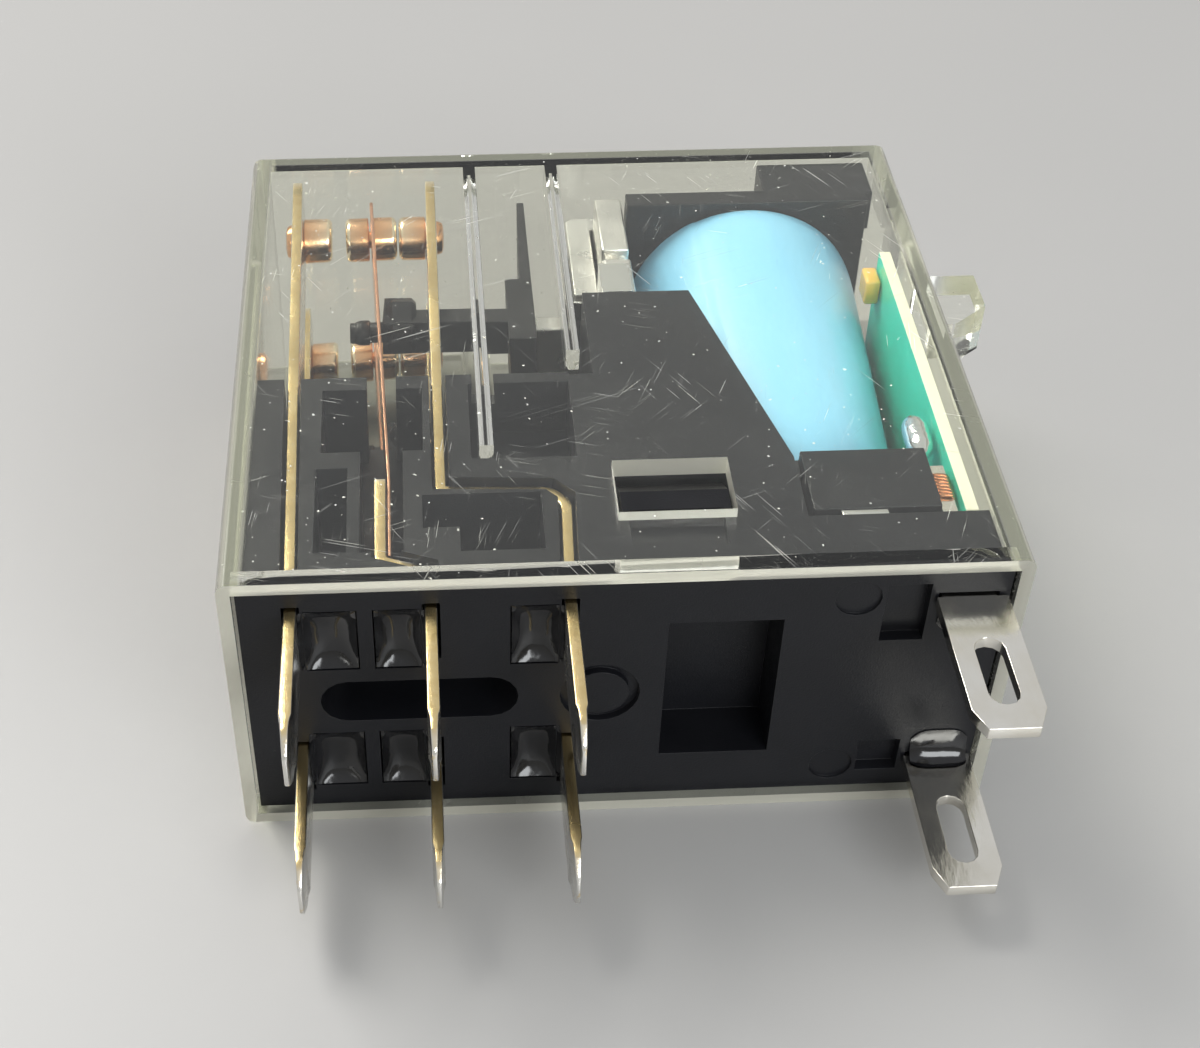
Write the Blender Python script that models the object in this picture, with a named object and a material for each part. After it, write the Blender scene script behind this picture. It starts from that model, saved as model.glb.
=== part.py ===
"""Plug-in power relay with two change-over contacts, lying on its large side.

Sizes are in millimetres.  Inside the helpers a place is (x, y, z): x runs across
the rim from the middle, y runs from the rim plane towards the closed end of the
cover, z runs up from the face the relay lies on.  piece() turns that into metres
about the middle of the lower large face.
"""
import math

import bmesh
import bpy
from mathutils import Vector

MM = 0.001

# Cover
CASE_WIDTH = 29.0
CASE_THICKNESS = 12.8
CASE_LENGTH = 28.4
WALL = 0.8
RIM_WALL = 0.5
RIM_DEPTH = 1.0
EDGE_RADIUS = 0.35
RIB_WIDTH = 0.55
RIB_DEPTH = 1.0
RIB_START = 7.75
INNER_RIB_START = 13.6
WINDOW_WIDTH = 4.34
WINDOW_LENGTH = 2.92
LUG_REACH = 1.9
LUG_LENGTH = 3.4

# Clearances
FIT = 0.1          # a loose fit between parts that are pushed together
CLOSE = 0.05       # a rivet or a pin in its hole
SEAT = 0.15        # along a face that rests on another part

# Terminals and contacts
PIN_LENGTH = 6.2
FIRST_COLUMN = 2.5      # from the outside of the cover to the first column of pins
COLUMN_PITCH = 5.0
POLE_MARGIN = 1.95      # from the top of the contact block to the middle of a pole
BLADE = 0.45
PIN_WIDTH = 2.6
BLADE_WIDTH = 3.2
CONTACT_RADIUS = 1.0
CONTACT_HEADROOM = 2.7  # from the inside of the closed end to the contacts
CARD_TO_CONTACT = 7.1
CONTACT_GAP = 0.5
REST_GAP = 0.1
SPRING = 0.15
SPRING_WIDTH = 2.9
SPRING_ROOT_Y = 6.6
COIL_PIN_THICKNESS = 0.5
COIL_PIN_MARGIN = 1.2   # from the top of the base to the middle of a coil pin
COIL_PIN_GAP = 0.5      # from the middle of the coil pins to the board

# Base
BASE_RECESS = 0.3
FLANGE = 0.65
SLAB_END = 3.3
BLOCK_TO_CARD = 5.5     # from the contact block to the card's arms
BLOCK_WALL = 0.8        # behind the springs' pockets
ROOF = 0.4

# Magnet system
COIL_START = 7.1
COIL_CLEARANCE = 0.3
COIL_TAPER = 0.9        # how much the coil swells towards the armature
CORE_RADIUS = 1.8
YOKE = 1.2
YOKE_HEADROOM = 1.9     # from the inside of the closed end to the yoke's end
ARMATURE = 0.9
ARMATURE_WIDTH = 6.4
ARMATURE_SWING = 3.73
FLANGE_THICKNESS = 1.0
BOARD = 0.5
BOARD_SEAT = 0.2        # from the board to the inside of the cover
BOARD_MARGIN = 1.5

ROUND = 24
SMALL_ROUND = 16

# Worked out from the sizes above
MID = CASE_THICKNESS / 2
HALF = CASE_WIDTH / 2
INNER_HALF = HALF - WALL
INNER_END = CASE_LENGTH - WALL
INNER_TOP = CASE_THICKNESS - WALL
SLAB_HALF = INNER_HALF - FIT
SLAB_TOP = INNER_TOP - FIT
SLAB_BOTTOM = CASE_THICKNESS - SLAB_TOP
POLE = SLAB_TOP - POLE_MARGIN
NO_X = -HALF + FIRST_COLUMN
COM_X = NO_X + COLUMN_PITCH
NC_X = COM_X + COLUMN_PITCH
COM_INNER_X = COM_X - 1.76
CONTACT_Y = INNER_END - CONTACT_HEADROOM
CARD_Y = CONTACT_Y - CARD_TO_CONTACT
COIL_RADIUS_BACK = MID - WALL - COIL_CLEARANCE
COIL_RADIUS_FRONT = COIL_RADIUS_BACK - COIL_TAPER
COIL_PIN_Z = SLAB_TOP - COIL_PIN_MARGIN
BOARD_X = INNER_HALF - BOARD_SEAT - BOARD
COIL_PIN_X = BOARD_X - COIL_PIN_GAP
COIL_X = BOARD_X - COIL_RADIUS_BACK
YOKE_X = COIL_X - COIL_RADIUS_BACK - COIL_CLEARANCE - YOKE
YOKE_END = INNER_END - YOKE_HEADROOM
COIL_END = YOKE_END - FLANGE_THICKNESS - 0.4
YOKE_DEPTH = SLAB_TOP - SLAB_BOTTOM - 1.1
SPRING_X = COM_INNER_X + BLADE / 2 + 0.035 + SPRING / 2
BLOCK_END = max(CARD_Y - BLOCK_TO_CARD, SPRING_ROOT_Y + 2.4)
SPRING_TOP_X = SPRING_X - 0.7
HINGE_X = YOKE_X - FIT
HINGE_Y = YOKE_END + FIT
NO_TOP_X = NO_X - 0.49
NC_BLADE_X = COM_X + 0.5
RIB_X = NC_BLADE_X + 1.8
INNER_RIB_X = YOKE_X - 1.87
WALL_X = YOKE_X - 1.19
WALL_END = CARD_Y - 0.13
STEM_FACE = YOKE_X - 3.15
ROOF_BOTTOM = SLAB_TOP - ROOF
WELL_BOTTOM = POLE - 1.85


# ---------------------------------------------------------------- shape helpers

def closed(mesh):
    """Give a closed mesh outward faces."""
    mesh.normal_update()
    bmesh.ops.recalc_face_normals(mesh, faces=mesh.faces)
    return mesh


def prism(outline, low, high, axis="z"):
    """A flat outline carried from low to high along one axis."""
    mesh = bmesh.new()
    order = {"z": lambda a, b, c: (a, b, c), "y": lambda a, b, c: (a, c, b), "x": lambda a, b, c: (c, a, b)}
    rings = [[mesh.verts.new(order[axis](a, b, c)) for a, b in outline] for c in (low, high)]
    mesh.faces.new(rings[0])
    mesh.faces.new(rings[1])
    count = len(outline)
    for i in range(count):
        j = (i + 1) % count
        mesh.faces.new((rings[0][i], rings[0][j], rings[1][j], rings[1][i]))
    return closed(mesh)


def block(x, y, z, rounding=0.0):
    """A box from (low, high) pairs, with its edges rounded if asked."""
    mesh = prism([(x[0], y[0]), (x[1], y[0]), (x[1], y[1]), (x[0], y[1])], z[0], z[1])
    if rounding:
        bmesh.ops.bevel(mesh, geom=mesh.edges[:], offset=rounding, segments=2, profile=0.5, affect="EDGES")
    return closed(mesh)


def turned(profile, centre, axis=(0, 1, 0), hollow=False, segments=ROUND):
    """A solid of revolution from (distance along the axis, radius) pairs.

    A hollow one has a closed loop as its profile, and no end caps.
    """
    mesh = bmesh.new()
    turn = Vector(axis).to_track_quat("Z", "Y").to_matrix()
    rings = []
    for along, radius in profile:
        angles = [2 * math.pi * k / segments for k in range(segments)]
        ring = [turn @ Vector((radius * math.cos(a), radius * math.sin(a), along)) for a in angles]
        rings.append([mesh.verts.new(Vector(centre) + place) for place in ring])
    last = len(rings) if hollow else len(rings) - 1
    for i in range(last):
        ring = rings[i]
        after = rings[(i + 1) % len(rings)]
        for k in range(segments):
            n = (k + 1) % segments
            mesh.faces.new((ring[k], ring[n], after[n], after[k]))
    if not hollow:
        mesh.faces.new(rings[0])
        mesh.faces.new(rings[-1])
    return closed(mesh)


def round_ended(x, z, low, high):
    """A slot along x with half-round ends, carried from low to high along y."""
    radius = (z[1] - z[0]) / 2
    middle = (z[0] + z[1]) / 2
    steps = range(9)
    right = [(x[1] - radius + radius * math.sin(math.pi * k / 8), middle - radius * math.cos(math.pi * k / 8))
             for k in steps]
    left = [(x[0] + radius - radius * math.sin(math.pi * k / 8), middle + radius * math.cos(math.pi * k / 8))
            for k in steps]
    return prism(right + left, low, high, "y")


def tube(points, radius, segments=8):
    """A round wire through a list of points, square to the path at each."""
    mesh = bmesh.new()
    places = [Vector(p) for p in points]
    rings = []
    for i, place in enumerate(places):
        ahead = places[min(i + 1, len(places) - 1)] - places[max(i - 1, 0)]
        turn = ahead.to_track_quat("Z", "Y").to_matrix()
        angles = [2 * math.pi * k / segments for k in range(segments)]
        around = [place + turn @ Vector((radius * math.cos(a), radius * math.sin(a), 0)) for a in angles]
        rings.append([mesh.verts.new(p) for p in around])
    for ring, after in zip(rings, rings[1:]):
        for k in range(segments):
            n = (k + 1) % segments
            mesh.faces.new((ring[k], ring[n], after[n], after[k]))
    mesh.faces.new(rings[0])
    mesh.faces.new(rings[-1])
    return closed(mesh)


def bent_strip(path, outline, thickness):
    """Sheet metal bent along a path of (x, y) points, with mitred bends.

    The outline is drawn flat, as (length along the path, z) points.
    """
    points = [Vector(p) for p in path]
    runs = [(b - a).normalized() for a, b in zip(points, points[1:])]
    stations = [0.0]
    for a, b in zip(points, points[1:]):
        stations.append(stations[-1] + (b - a).length)
    sides = []
    for i in range(len(points)):
        before = runs[max(i - 1, 0)]
        after = runs[min(i, len(runs) - 1)]
        normal = Vector((-before.y - after.y, before.x + after.x)).normalized()
        sides.append(normal / max(normal.dot(Vector((-before.y, before.x))), 0.2))
    mesh = bmesh.new()
    mesh.faces.new([mesh.verts.new((s, z, 0.0)) for s, z in outline])
    for s in stations[1:-1]:
        geometry = mesh.verts[:] + mesh.edges[:] + mesh.faces[:]
        bmesh.ops.bisect_plane(mesh, geom=geometry, plane_co=(s, 0, 0), plane_no=(1, 0, 0), dist=1e-5)
    flat = bmesh.ops.extrude_face_region(mesh, geom=mesh.faces[:])
    for item in flat["geom"]:
        if isinstance(item, bmesh.types.BMVert):
            item.co.z = 1.0
    for vert in mesh.verts:
        s, z, top = vert.co
        i = 0
        while i < len(runs) - 1 and s > stations[i + 1] + 1e-5:
            i += 1
        part = (s - stations[i]) / (stations[i + 1] - stations[i])
        offset = (top - 0.5) * thickness
        start = points[i] + sides[i] * offset
        end = points[i + 1] + sides[i + 1] * offset
        place = start.lerp(end, part)
        vert.co = (place.x, place.y, z)
    return closed(mesh)


def flipped(mesh, side):
    """Leave a shape of the upper pole, or mirror it to the lower one."""
    if side < 0:
        for vert in mesh.verts:
            vert.co.z = CASE_THICKNESS - vert.co.z
    return closed(mesh)


# ---------------------------------------------------------------- object helpers

def finish(name, colour, roughness, metallic, alpha=1.0):
    """One plain Principled material."""
    material = bpy.data.materials.new(name)
    material.use_nodes = True
    shader = material.node_tree.nodes["Principled BSDF"]
    shader.inputs["Base Color"].default_value = (*colour, 1.0)
    shader.inputs["Roughness"].default_value = roughness
    shader.inputs["Metallic"].default_value = metallic
    shader.inputs["Alpha"].default_value = alpha
    return material


PLASTIC_BLACK = ((0.012, 0.013, 0.018), 0.4, 0.0)
PLASTIC_CLEAR = ((0.9, 0.91, 0.86), 0.05, 0.0, 0.25)
SILVERED_BRASS = ((0.72, 0.66, 0.52), 0.3, 1.0)
CONTACT_SILVER = ((0.82, 0.78, 0.68), 0.25, 1.0)
SPRING_BRONZE = ((0.75, 0.47, 0.33), 0.3, 1.0)
STEEL = ((0.62, 0.62, 0.6), 0.35, 1.0)
COPPER = ((0.72, 0.33, 0.16), 0.35, 1.0)
RESIN = ((0.03, 0.03, 0.035), 0.1, 0.0)
SOLDER = ((0.7, 0.7, 0.7), 0.25, 1.0)


def world(place):
    """Metres about the middle of the lower large face."""
    return Vector((place[0], place[1] - CASE_LENGTH / 2, place[2])) * MM


def joint_empty(name, place):
    """An empty on a joint's axis, which carries the pieces that move on it."""
    empty = bpy.data.objects.new(name, None)
    empty.empty_display_size = 0.003
    bpy.context.scene.collection.objects.link(empty)
    empty.location = world(place)
    return empty


def put(name, mesh, carrier):
    """Link a shape as an object, in metres from its carrier."""
    start = carrier.location if carrier else Vector()
    for vert in mesh.verts:
        vert.co = world(vert.co) - start
    data = bpy.data.meshes.new(name)
    mesh.to_mesh(data)
    mesh.free()
    item = bpy.data.objects.new(name, data)
    bpy.context.scene.collection.objects.link(item)
    item.parent = carrier
    return item


def piece(name, look, shape, joined=(), cuts=(), carrier=None, smooth=False):
    """One sub-part: a shape, the shapes joined to it, then the shapes cut out."""
    item = put(name, shape, carrier)
    item.data.materials.append(finish(name, *look))
    if smooth:
        item.data.shade_smooth()
        item.data.set_sharp_from_angle(angle=math.radians(35))
    for operation, shapes in (("UNION", joined), ("DIFFERENCE", cuts)):
        for number, other in enumerate(shapes):
            helper = put(f"{name}.{operation.lower()}.{number}", other, carrier)
            helper.hide_render = True
            helper.display_type = "WIRE"
            modifier = item.modifiers.new(f"{operation.title()} {number}", "BOOLEAN")
            modifier.operation = operation
            modifier.solver = "EXACT"
            modifier.object = helper
    return item


# ---------------------------------------------------------------- enclosure

WINDOW_X = YOKE_X + 1.19
WINDOW_Y = SLAB_END + 1.4


def window(grow=0.0):
    """The span of a snap window in x and in y."""
    half_width = WINDOW_WIDTH / 2 + grow
    half_length = WINDOW_LENGTH / 2 + grow
    return (WINDOW_X - half_width, WINDOW_X + half_width), (WINDOW_Y - half_length, WINDOW_Y + half_length)


def add_cover():
    """The clear cover: a five-sided box with snap windows, guide ribs and a side lug."""
    outer = block((-HALF, HALF), (0, CASE_LENGTH), (0, CASE_THICKNESS))
    round_edges = [e for e in outer.edges if max(v.co.y for v in e.verts) > 1]
    bmesh.ops.bevel(outer, geom=round_edges, offset=EDGE_RADIUS, segments=2, profile=0.5, affect="EDGES")
    inside = block((-INNER_HALF, INNER_HALF), (-1, INNER_END), (WALL, INNER_TOP))
    rim_half = HALF - RIM_WALL
    rim = block((-rim_half, rim_half), (-1, RIM_DEPTH), (RIM_WALL, CASE_THICKNESS - RIM_WALL))
    x, y = window()
    cuts = [inside, rim]
    cuts += [flipped(block(x, y, (INNER_TOP - 1, CASE_THICKNESS + 1)), side) for side in (1, -1)]
    lug_y = CASE_LENGTH / 2 + 0.5
    lug = prism([(HALF - 0.2, lug_y), (HALF + 0.4, lug_y), (HALF + LUG_REACH, lug_y + 1.2),
                 (HALF + LUG_REACH, lug_y + LUG_LENGTH), (HALF - 0.2, lug_y + LUG_LENGTH)],
                CASE_THICKNESS - 2.6, CASE_THICKNESS - 0.4)
    shell = piece("cover", PLASTIC_CLEAR, closed(outer), joined=[lug], cuts=cuts)
    rib_tail = INNER_END + WALL / 2
    number = 0
    for side in (1, -1):
        for rib_x, start in ((RIB_X, RIB_START), (INNER_RIB_X, INNER_RIB_START)):
            rib = block((rib_x - RIB_WIDTH / 2, rib_x + RIB_WIDTH / 2), (start, rib_tail),
                        (INNER_TOP - RIB_DEPTH, INNER_TOP + WALL / 2))
            helper = put(f"cover.rib.{number}", flipped(rib, side), None)
            helper.hide_render = True
            helper.display_type = "WIRE"
            modifier = shell.modifiers.new(f"Rib {number}", "BOOLEAN")
            modifier.operation = "UNION"
            modifier.solver = "EXACT"
            modifier.object = helper
            number += 1


# Paths of the blades, seen from above
FRONT = -PIN_LENGTH
JOG_Y = BASE_RECESS + FLANGE + 0.4
NO_PATH = [(NO_X, FRONT), (NO_X, JOG_Y), (NO_TOP_X, INNER_END - 0.3)]
COM_PATH = [(COM_X, FRONT), (COM_X, JOG_Y), (COM_INNER_X, JOG_Y + 0.7), (COM_INNER_X, SPRING_ROOT_Y - 0.15)]
NC_PATH = [(NC_X, FRONT), (NC_X, JOG_Y), (NC_X + 0.15, 4.9), (NC_X - 0.45, 5.55), (NC_BLADE_X, 5.75),
           (NC_BLADE_X, INNER_END - 0.4)]


def path_length(path):
    """The developed length of a path of (x, y) points."""
    return sum(math.dist(a, b) for a, b in zip(path, path[1:]))


def blade_outline(path, grow=0.0):
    """A pin with a pointed tip, widening at a shoulder inside the base."""
    narrow = PIN_WIDTH / 2 + grow
    wide = BLADE_WIDTH / 2 + grow
    shoulder = PIN_LENGTH + BASE_RECESS + FLANGE + 0.2 - grow
    end = path_length(path) + grow
    tip = 0.45
    lower = [(0, tip - narrow), (0.9, -narrow), (shoulder, -narrow), (shoulder, -wide), (end, -wide)]
    upper = [(along, -across) for along, across in reversed(lower)]
    return [(along, POLE + across) for along, across in lower + upper]


def channel(path):
    """The space for a blade: a slot through the flange, then open to the outside of the block."""
    half = PIN_WIDTH / 2 + FIT
    low = POLE - BLADE_WIDTH / 2 - FIT
    start = PIN_LENGTH - 0.3
    shoulder = PIN_LENGTH + BASE_RECESS + FLANGE + 0.15
    end = path_length(path)
    outline = [(start, POLE - half), (shoulder, POLE - half), (shoulder, low), (end, low),
               (end, CASE_THICKNESS), (shoulder, CASE_THICKNESS), (shoulder, POLE + half), (start, POLE + half)]
    return bent_strip(path, outline, BLADE + 2 * FIT)


def coil_pin_slot():
    """The slot for a coil pin right through the base."""
    half = COIL_PIN_THICKNESS / 2 + FIT
    middle = COIL_PIN_Z
    span = (COIL_PIN_X - 1.2, COIL_PIN_X + 0.9 + FIT)
    return block(span, (0, SLAB_END + 0.5), (middle - half, middle + half))


WELLS = {"no": (NO_X + 0.4, NO_X + 2.35), "com": (COM_X - 2.1, COM_X - 0.4), "nc": (NC_X - 2.16, NC_X - 0.4)}
WELL_DEPTH = 0.75
WELL_HEIGHT = 3.0


def well(kind, inset=0.0, y=None):
    """The sealing well beside a pin, or what fills it."""
    low, high = WELLS[kind]
    span = y or (BASE_RECESS - 0.5, BASE_RECESS + WELL_DEPTH)
    return block((low + inset, high - inset), span, (WELL_BOTTOM + inset, WELL_BOTTOM + WELL_HEIGHT - inset))


def base_cuts(side):
    """Everything taken out of one pole's half of the base."""
    top = CASE_THICKNESS
    low = POLE - BLADE_WIDTH / 2 - SEAT
    shapes = [channel(path) for path in (NO_PATH, COM_PATH, NC_PATH)]
    shapes += [well(kind) for kind in WELLS]
    shapes.append(coil_pin_slot())
    spring_room = (COM_INNER_X - 0.74, SPRING_X + 0.525)
    shapes.append(block((NO_X + 1.0, NC_BLADE_X - 0.6), (7.7, BLOCK_END - BLOCK_WALL), (low - 0.2, top)))
    shapes.append(block((SPRING_X - 0.85, SPRING_X + 0.3), (BLOCK_END - 2, BLOCK_END + 1), (low - 0.2, top)))
    shapes.append(block((NO_X + 0.84, spring_room[0] - 0.47), (2.1, 6.75), (low, top)))
    shapes.append(block(spring_room, (2.1, 7.9), (low, top)))
    shapes.append(block((NC_BLADE_X + 0.65, NC_X - 0.8), (2.0, 5.1), (low + 0.8, top)))
    shapes.append(block((NC_BLADE_X - 0.7, NC_BLADE_X + 0.8), (SLAB_END, 5.1), (low + 0.8, top)))
    shapes.append(block((NC_BLADE_X + 1.2, WALL_X - 1.01), (7.1, BLOCK_END - 0.6), (low + 1.2, top)))
    rib_half = RIB_WIDTH / 2 + SEAT
    shapes.append(block((RIB_X - rib_half, RIB_X + rib_half), (RIB_START - SEAT, BLOCK_END + 1),
                        (INNER_TOP - RIB_DEPTH - SEAT, top)))
    window_x, window_y = window(-0.43)
    shapes.append(block(window_x, (2.0, window_y[0]), (SLAB_TOP - 0.3, top)))
    return [flipped(shape, side) for shape in shapes]


def base_hook(side):
    """The ramped catch that snaps into a window of the cover."""
    x, y = window(-0.16)
    front = y[0] + 0.05
    crest = INNER_TOP + 0.5
    outline = [(front, SLAB_TOP - 0.2), (front, crest), (front + 1.25, crest), (front + 2.25, SLAB_TOP),
               (front + 2.25, SLAB_TOP - 0.2)]
    return flipped(prism(outline, x[0], x[1], "x"), side)


def roof(side):
    """The thin shelf that insulates the yoke's edge from the cover."""
    corner = COIL_X - 0.79
    outline = [(WALL_X, 3.0), (corner, 3.0), (corner, COIL_START - 0.44), (corner - 2.71, WALL_END),
               (WALL_X, WALL_END)]
    return flipped(prism(outline, ROOF_BOTTOM, SLAB_TOP), side)


def add_base():
    """The black base: rim plate, contact block, insulating wall and catches."""
    edge = FIT + RIM_WALL
    flange = block((-HALF + edge, HALF - edge), (BASE_RECESS, BASE_RECESS + FLANGE),
                   (edge, CASE_THICKNESS - edge))
    height = (SLAB_BOTTOM, SLAB_TOP)
    joined = [block((-SLAB_HALF, SLAB_HALF), (BASE_RECESS + 0.3, SLAB_END), height),
              block((-SLAB_HALF, WALL_X - 0.96), (SLAB_END - 0.5, BLOCK_END), height),
              block((WALL_X - 1.2, YOKE_X - SEAT), (SLAB_END - 0.5, BLOCK_END - 0.15), height),
              block((WALL_X, YOKE_X - SEAT), (BLOCK_END - 0.6, WALL_END), height)]
    joined += [roof(side) for side in (1, -1)]
    joined += [base_hook(side) for side in (1, -1)]
    face = BASE_RECESS - 0.5
    cuts = base_cuts(1) + base_cuts(-1)
    slot_half = max(POLE - MID - PIN_WIDTH / 2 - 1.2, 0.4)
    slot_height = (MID - slot_half, MID + slot_half)
    cuts.append(round_ended((NO_X + 0.8, NC_X - 1.85), slot_height, face, BASE_RECESS + 2.0))
    cuts.append(block((YOKE_X + 0.7, YOKE_X + 4.9), (face, BASE_RECESS + 2.3), (CASE_THICKNESS - POLE, POLE)))
    ring = [(face, 1.1), (face, 1.5), (BASE_RECESS + 0.3, 1.5), (BASE_RECESS + 0.3, 1.1)]
    cuts.append(turned(ring, (NC_X + 1.2, 0, MID), hollow=True))
    for z in (SLAB_TOP - 1.0, SLAB_BOTTOM + 1.0):
        profile = [(face, 0.85), (BASE_RECESS + 0.12, 0.85)]
        dimple = turned(profile, (COIL_X + 0.7, 0, z), segments=SMALL_ROUND)
        cuts.append(dimple)
    notch_x = (COIL_PIN_X - 3.1, COIL_PIN_X - 1.5)
    cuts.append(block(notch_x, (face, BASE_RECESS + 0.5), (SLAB_TOP - 3.2, SLAB_TOP - 0.4)))
    cuts.append(block(notch_x, (face, BASE_RECESS + 0.5), (SLAB_BOTTOM + 0.6, SLAB_BOTTOM + 2.3)))
    piece("base", PLASTIC_BLACK, flange, joined=joined, cuts=cuts)


def add_fillings(side, level):
    """The sealing resin in the wells and at the root of a coil pin."""
    span = (BASE_RECESS + 0.2, BASE_RECESS + WELL_DEPTH - CLOSE)
    for kind in WELLS:
        piece(f"resin_{kind}_{level}", RESIN, flipped(well(kind, CLOSE, span), side))
    middle = COIL_PIN_Z
    foot = middle - COIL_PIN_THICKNESS / 2 - CLOSE
    root = BASE_RECESS - CLOSE
    hump = [(root, foot)]
    hump += [(root - 0.75 * math.sin(a), foot - 1.3 * math.cos(a)) for a in (0, 0.4, 0.8, 1.2, 1.57)]
    shape = prism(hump, COIL_PIN_X - 1.1, COIL_PIN_X + 1.1, "x")
    piece(f"resin_coil_{level}", RESIN, flipped(shape, side))


# ---------------------------------------------------------------- contact system

def contact_place(path_x):
    """The centre of a contact on the upper pole."""
    return (path_x, CONTACT_Y, POLE)


def lean(path, y):
    """The x of a blade's middle at a given y, along the last run of its path."""
    (x0, y0), (x1, y1) = path[-2:]
    return x0 + (x1 - x0) * (y - y0) / (y1 - y0)


def rivet_hole(x, radius=0.5):
    """The hole for a contact rivet through a blade or a spring."""
    return turned([(-1, radius + CLOSE), (1, radius + CLOSE)], contact_place(x), axis=(1, 0, 0),
                  segments=SMALL_ROUND)


NO_CONTACT_X = lean(NO_PATH, CONTACT_Y)
SPRING_PATH = [(SPRING_X, 2.4), (SPRING_X, SPRING_ROOT_Y), (SPRING_TOP_X, CONTACT_Y),
               (SPRING_TOP_X - 0.05, CONTACT_Y + 1.3)]
NC_FACE = SPRING_TOP_X + 1.18
MOVING_FACES = (NC_FACE - REST_GAP - 2.3, NC_FACE - REST_GAP)
NO_FACE = MOVING_FACES[0] - REST_GAP - CONTACT_GAP


def add_terminal(name, path, side, cuts=()):
    """One fixed blade with its pin."""
    shape = bent_strip(path, blade_outline(path), BLADE)
    piece(name, SILVERED_BRASS, flipped(shape, side), cuts=[flipped(cut, side) for cut in cuts])


def add_coil_terminal(side, level):
    """A coil pin: a slotted flat tab outside, a narrow tail for the wire inside."""
    middle = COIL_PIN_Z
    half = PIN_WIDTH / 2
    face = BASE_RECESS - FIT
    neck = SLAB_END + 0.3
    outline = [(-half + 0.4, FRONT), (half - 0.4, FRONT), (half, FRONT + 0.9), (half, face),
               (half - 0.4, face), (half - 0.4, neck), (0.35, neck), (0.35, 7.0), (-0.25, 7.0),
               (-0.25, neck), (-half + 0.2, neck), (-half + 0.2, face), (-half, face),
               (-half, FRONT + 0.9)]
    outline = [(COIL_PIN_X + x, y) for x, y in outline]
    low = middle - COIL_PIN_THICKNESS / 2
    shape = prism(outline, low, low + COIL_PIN_THICKNESS)
    steps = range(7)
    arc = [(0.55 * math.cos(math.pi * k / 6), 0.55 * math.sin(math.pi * k / 6)) for k in steps]
    slot = [(COIL_PIN_X + x, -2.45 + y) for x, y in arc] + [(COIL_PIN_X - x, -4.55 - y) for x, y in arc]
    cut = prism(slot, low - 1, low + 1.5)
    piece(f"coil_terminal_{level}", SILVERED_BRASS, flipped(shape, side), cuts=[flipped(cut, side)])


def add_contact(name, x, inner_face, side):
    """A contact rivet: head, shank through the blade, and the peened tail."""
    away = 1 if inner_face > x else -1
    reach = BLADE / 2 + 0.04
    head = abs(inner_face - x)
    profile = [(-reach - 0.3, 0.6), (-reach, 0.75), (-reach, 0.5), (reach, 0.5), (reach, CONTACT_RADIUS),
               (head - 0.12, CONTACT_RADIUS), (head, CONTACT_RADIUS - 0.2)]
    shape = turned(profile, contact_place(x), axis=(away, 0, 0))
    piece(name, CONTACT_SILVER, flipped(shape, side), smooth=True)


def add_moving_contact(side, level, carrier):
    """The double-headed rivet at the free end of the moving spring."""
    (x0, y0), (x1, y1) = SPRING_PATH[1:3]
    lean_angle = math.atan2(x0 - x1, y1 - y0)
    axis = (math.cos(lean_angle), math.sin(lean_angle), 0)
    reach = SPRING / 2 + 0.03
    left = SPRING_TOP_X - MOVING_FACES[0]
    right = MOVING_FACES[1] - SPRING_TOP_X
    profile = [(-left, CONTACT_RADIUS - 0.2), (-left + 0.12, CONTACT_RADIUS), (-reach, CONTACT_RADIUS),
               (-reach, 0.4), (reach, 0.4), (reach, CONTACT_RADIUS), (right - 0.12, CONTACT_RADIUS),
               (right, CONTACT_RADIUS - 0.2)]
    shape = turned(profile, contact_place(SPRING_TOP_X), axis=axis)
    piece(f"moving_contact_{level}", CONTACT_SILVER, flipped(shape, side), carrier=carrier, smooth=True)


def card_pin(grow=0.0):
    """The peg of the card that passes through a moving spring."""
    x = lean(SPRING_PATH[:3], CARD_Y)
    return turned([(-1.2, 0.45 + grow), (0.4, 0.45 + grow)], (x, CARD_Y, POLE), axis=(1, 0, 0),
                  segments=SMALL_ROUND)


def add_moving_spring(side, level, carrier):
    """The contact spring, with holes for its rivet and for the card's peg."""
    half = SPRING_WIDTH / 2
    end = path_length(SPRING_PATH)
    outline = [(0, POLE - half), (end - 0.5, POLE - half), (end, POLE - half + 0.5), (end, POLE + half - 0.5),
               (end - 0.5, POLE + half), (0, POLE + half)]
    shape = bent_strip(SPRING_PATH, outline, SPRING)
    cuts = [rivet_hole(SPRING_TOP_X, 0.4), card_pin(FIT)]
    piece(f"moving_spring_{level}", SPRING_BRONZE, flipped(shape, side), carrier=carrier,
          cuts=[flipped(cut, side) for cut in cuts])


CARD_TOP = POLE + 0.85
NECK_LOW = CARD_Y - 0.5
NECK_HIGH = CARD_Y + 0.45


def card_arm(side):
    """One arm of the card: neck and stop against the moving spring."""
    stop = lean(SPRING_PATH[:3], CARD_Y) + SPRING / 2 + 0.1
    outline = [(stop, NECK_LOW), (STEM_FACE - 1.0, NECK_LOW), (STEM_FACE - 1.0, NECK_HIGH),
               (stop + 0.95, NECK_HIGH), (stop + 0.95, CARD_Y + 1.35), (stop + 0.1, CARD_Y + 1.35)]
    return flipped(prism(outline, POLE - 0.85, CARD_TOP), side)


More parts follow.
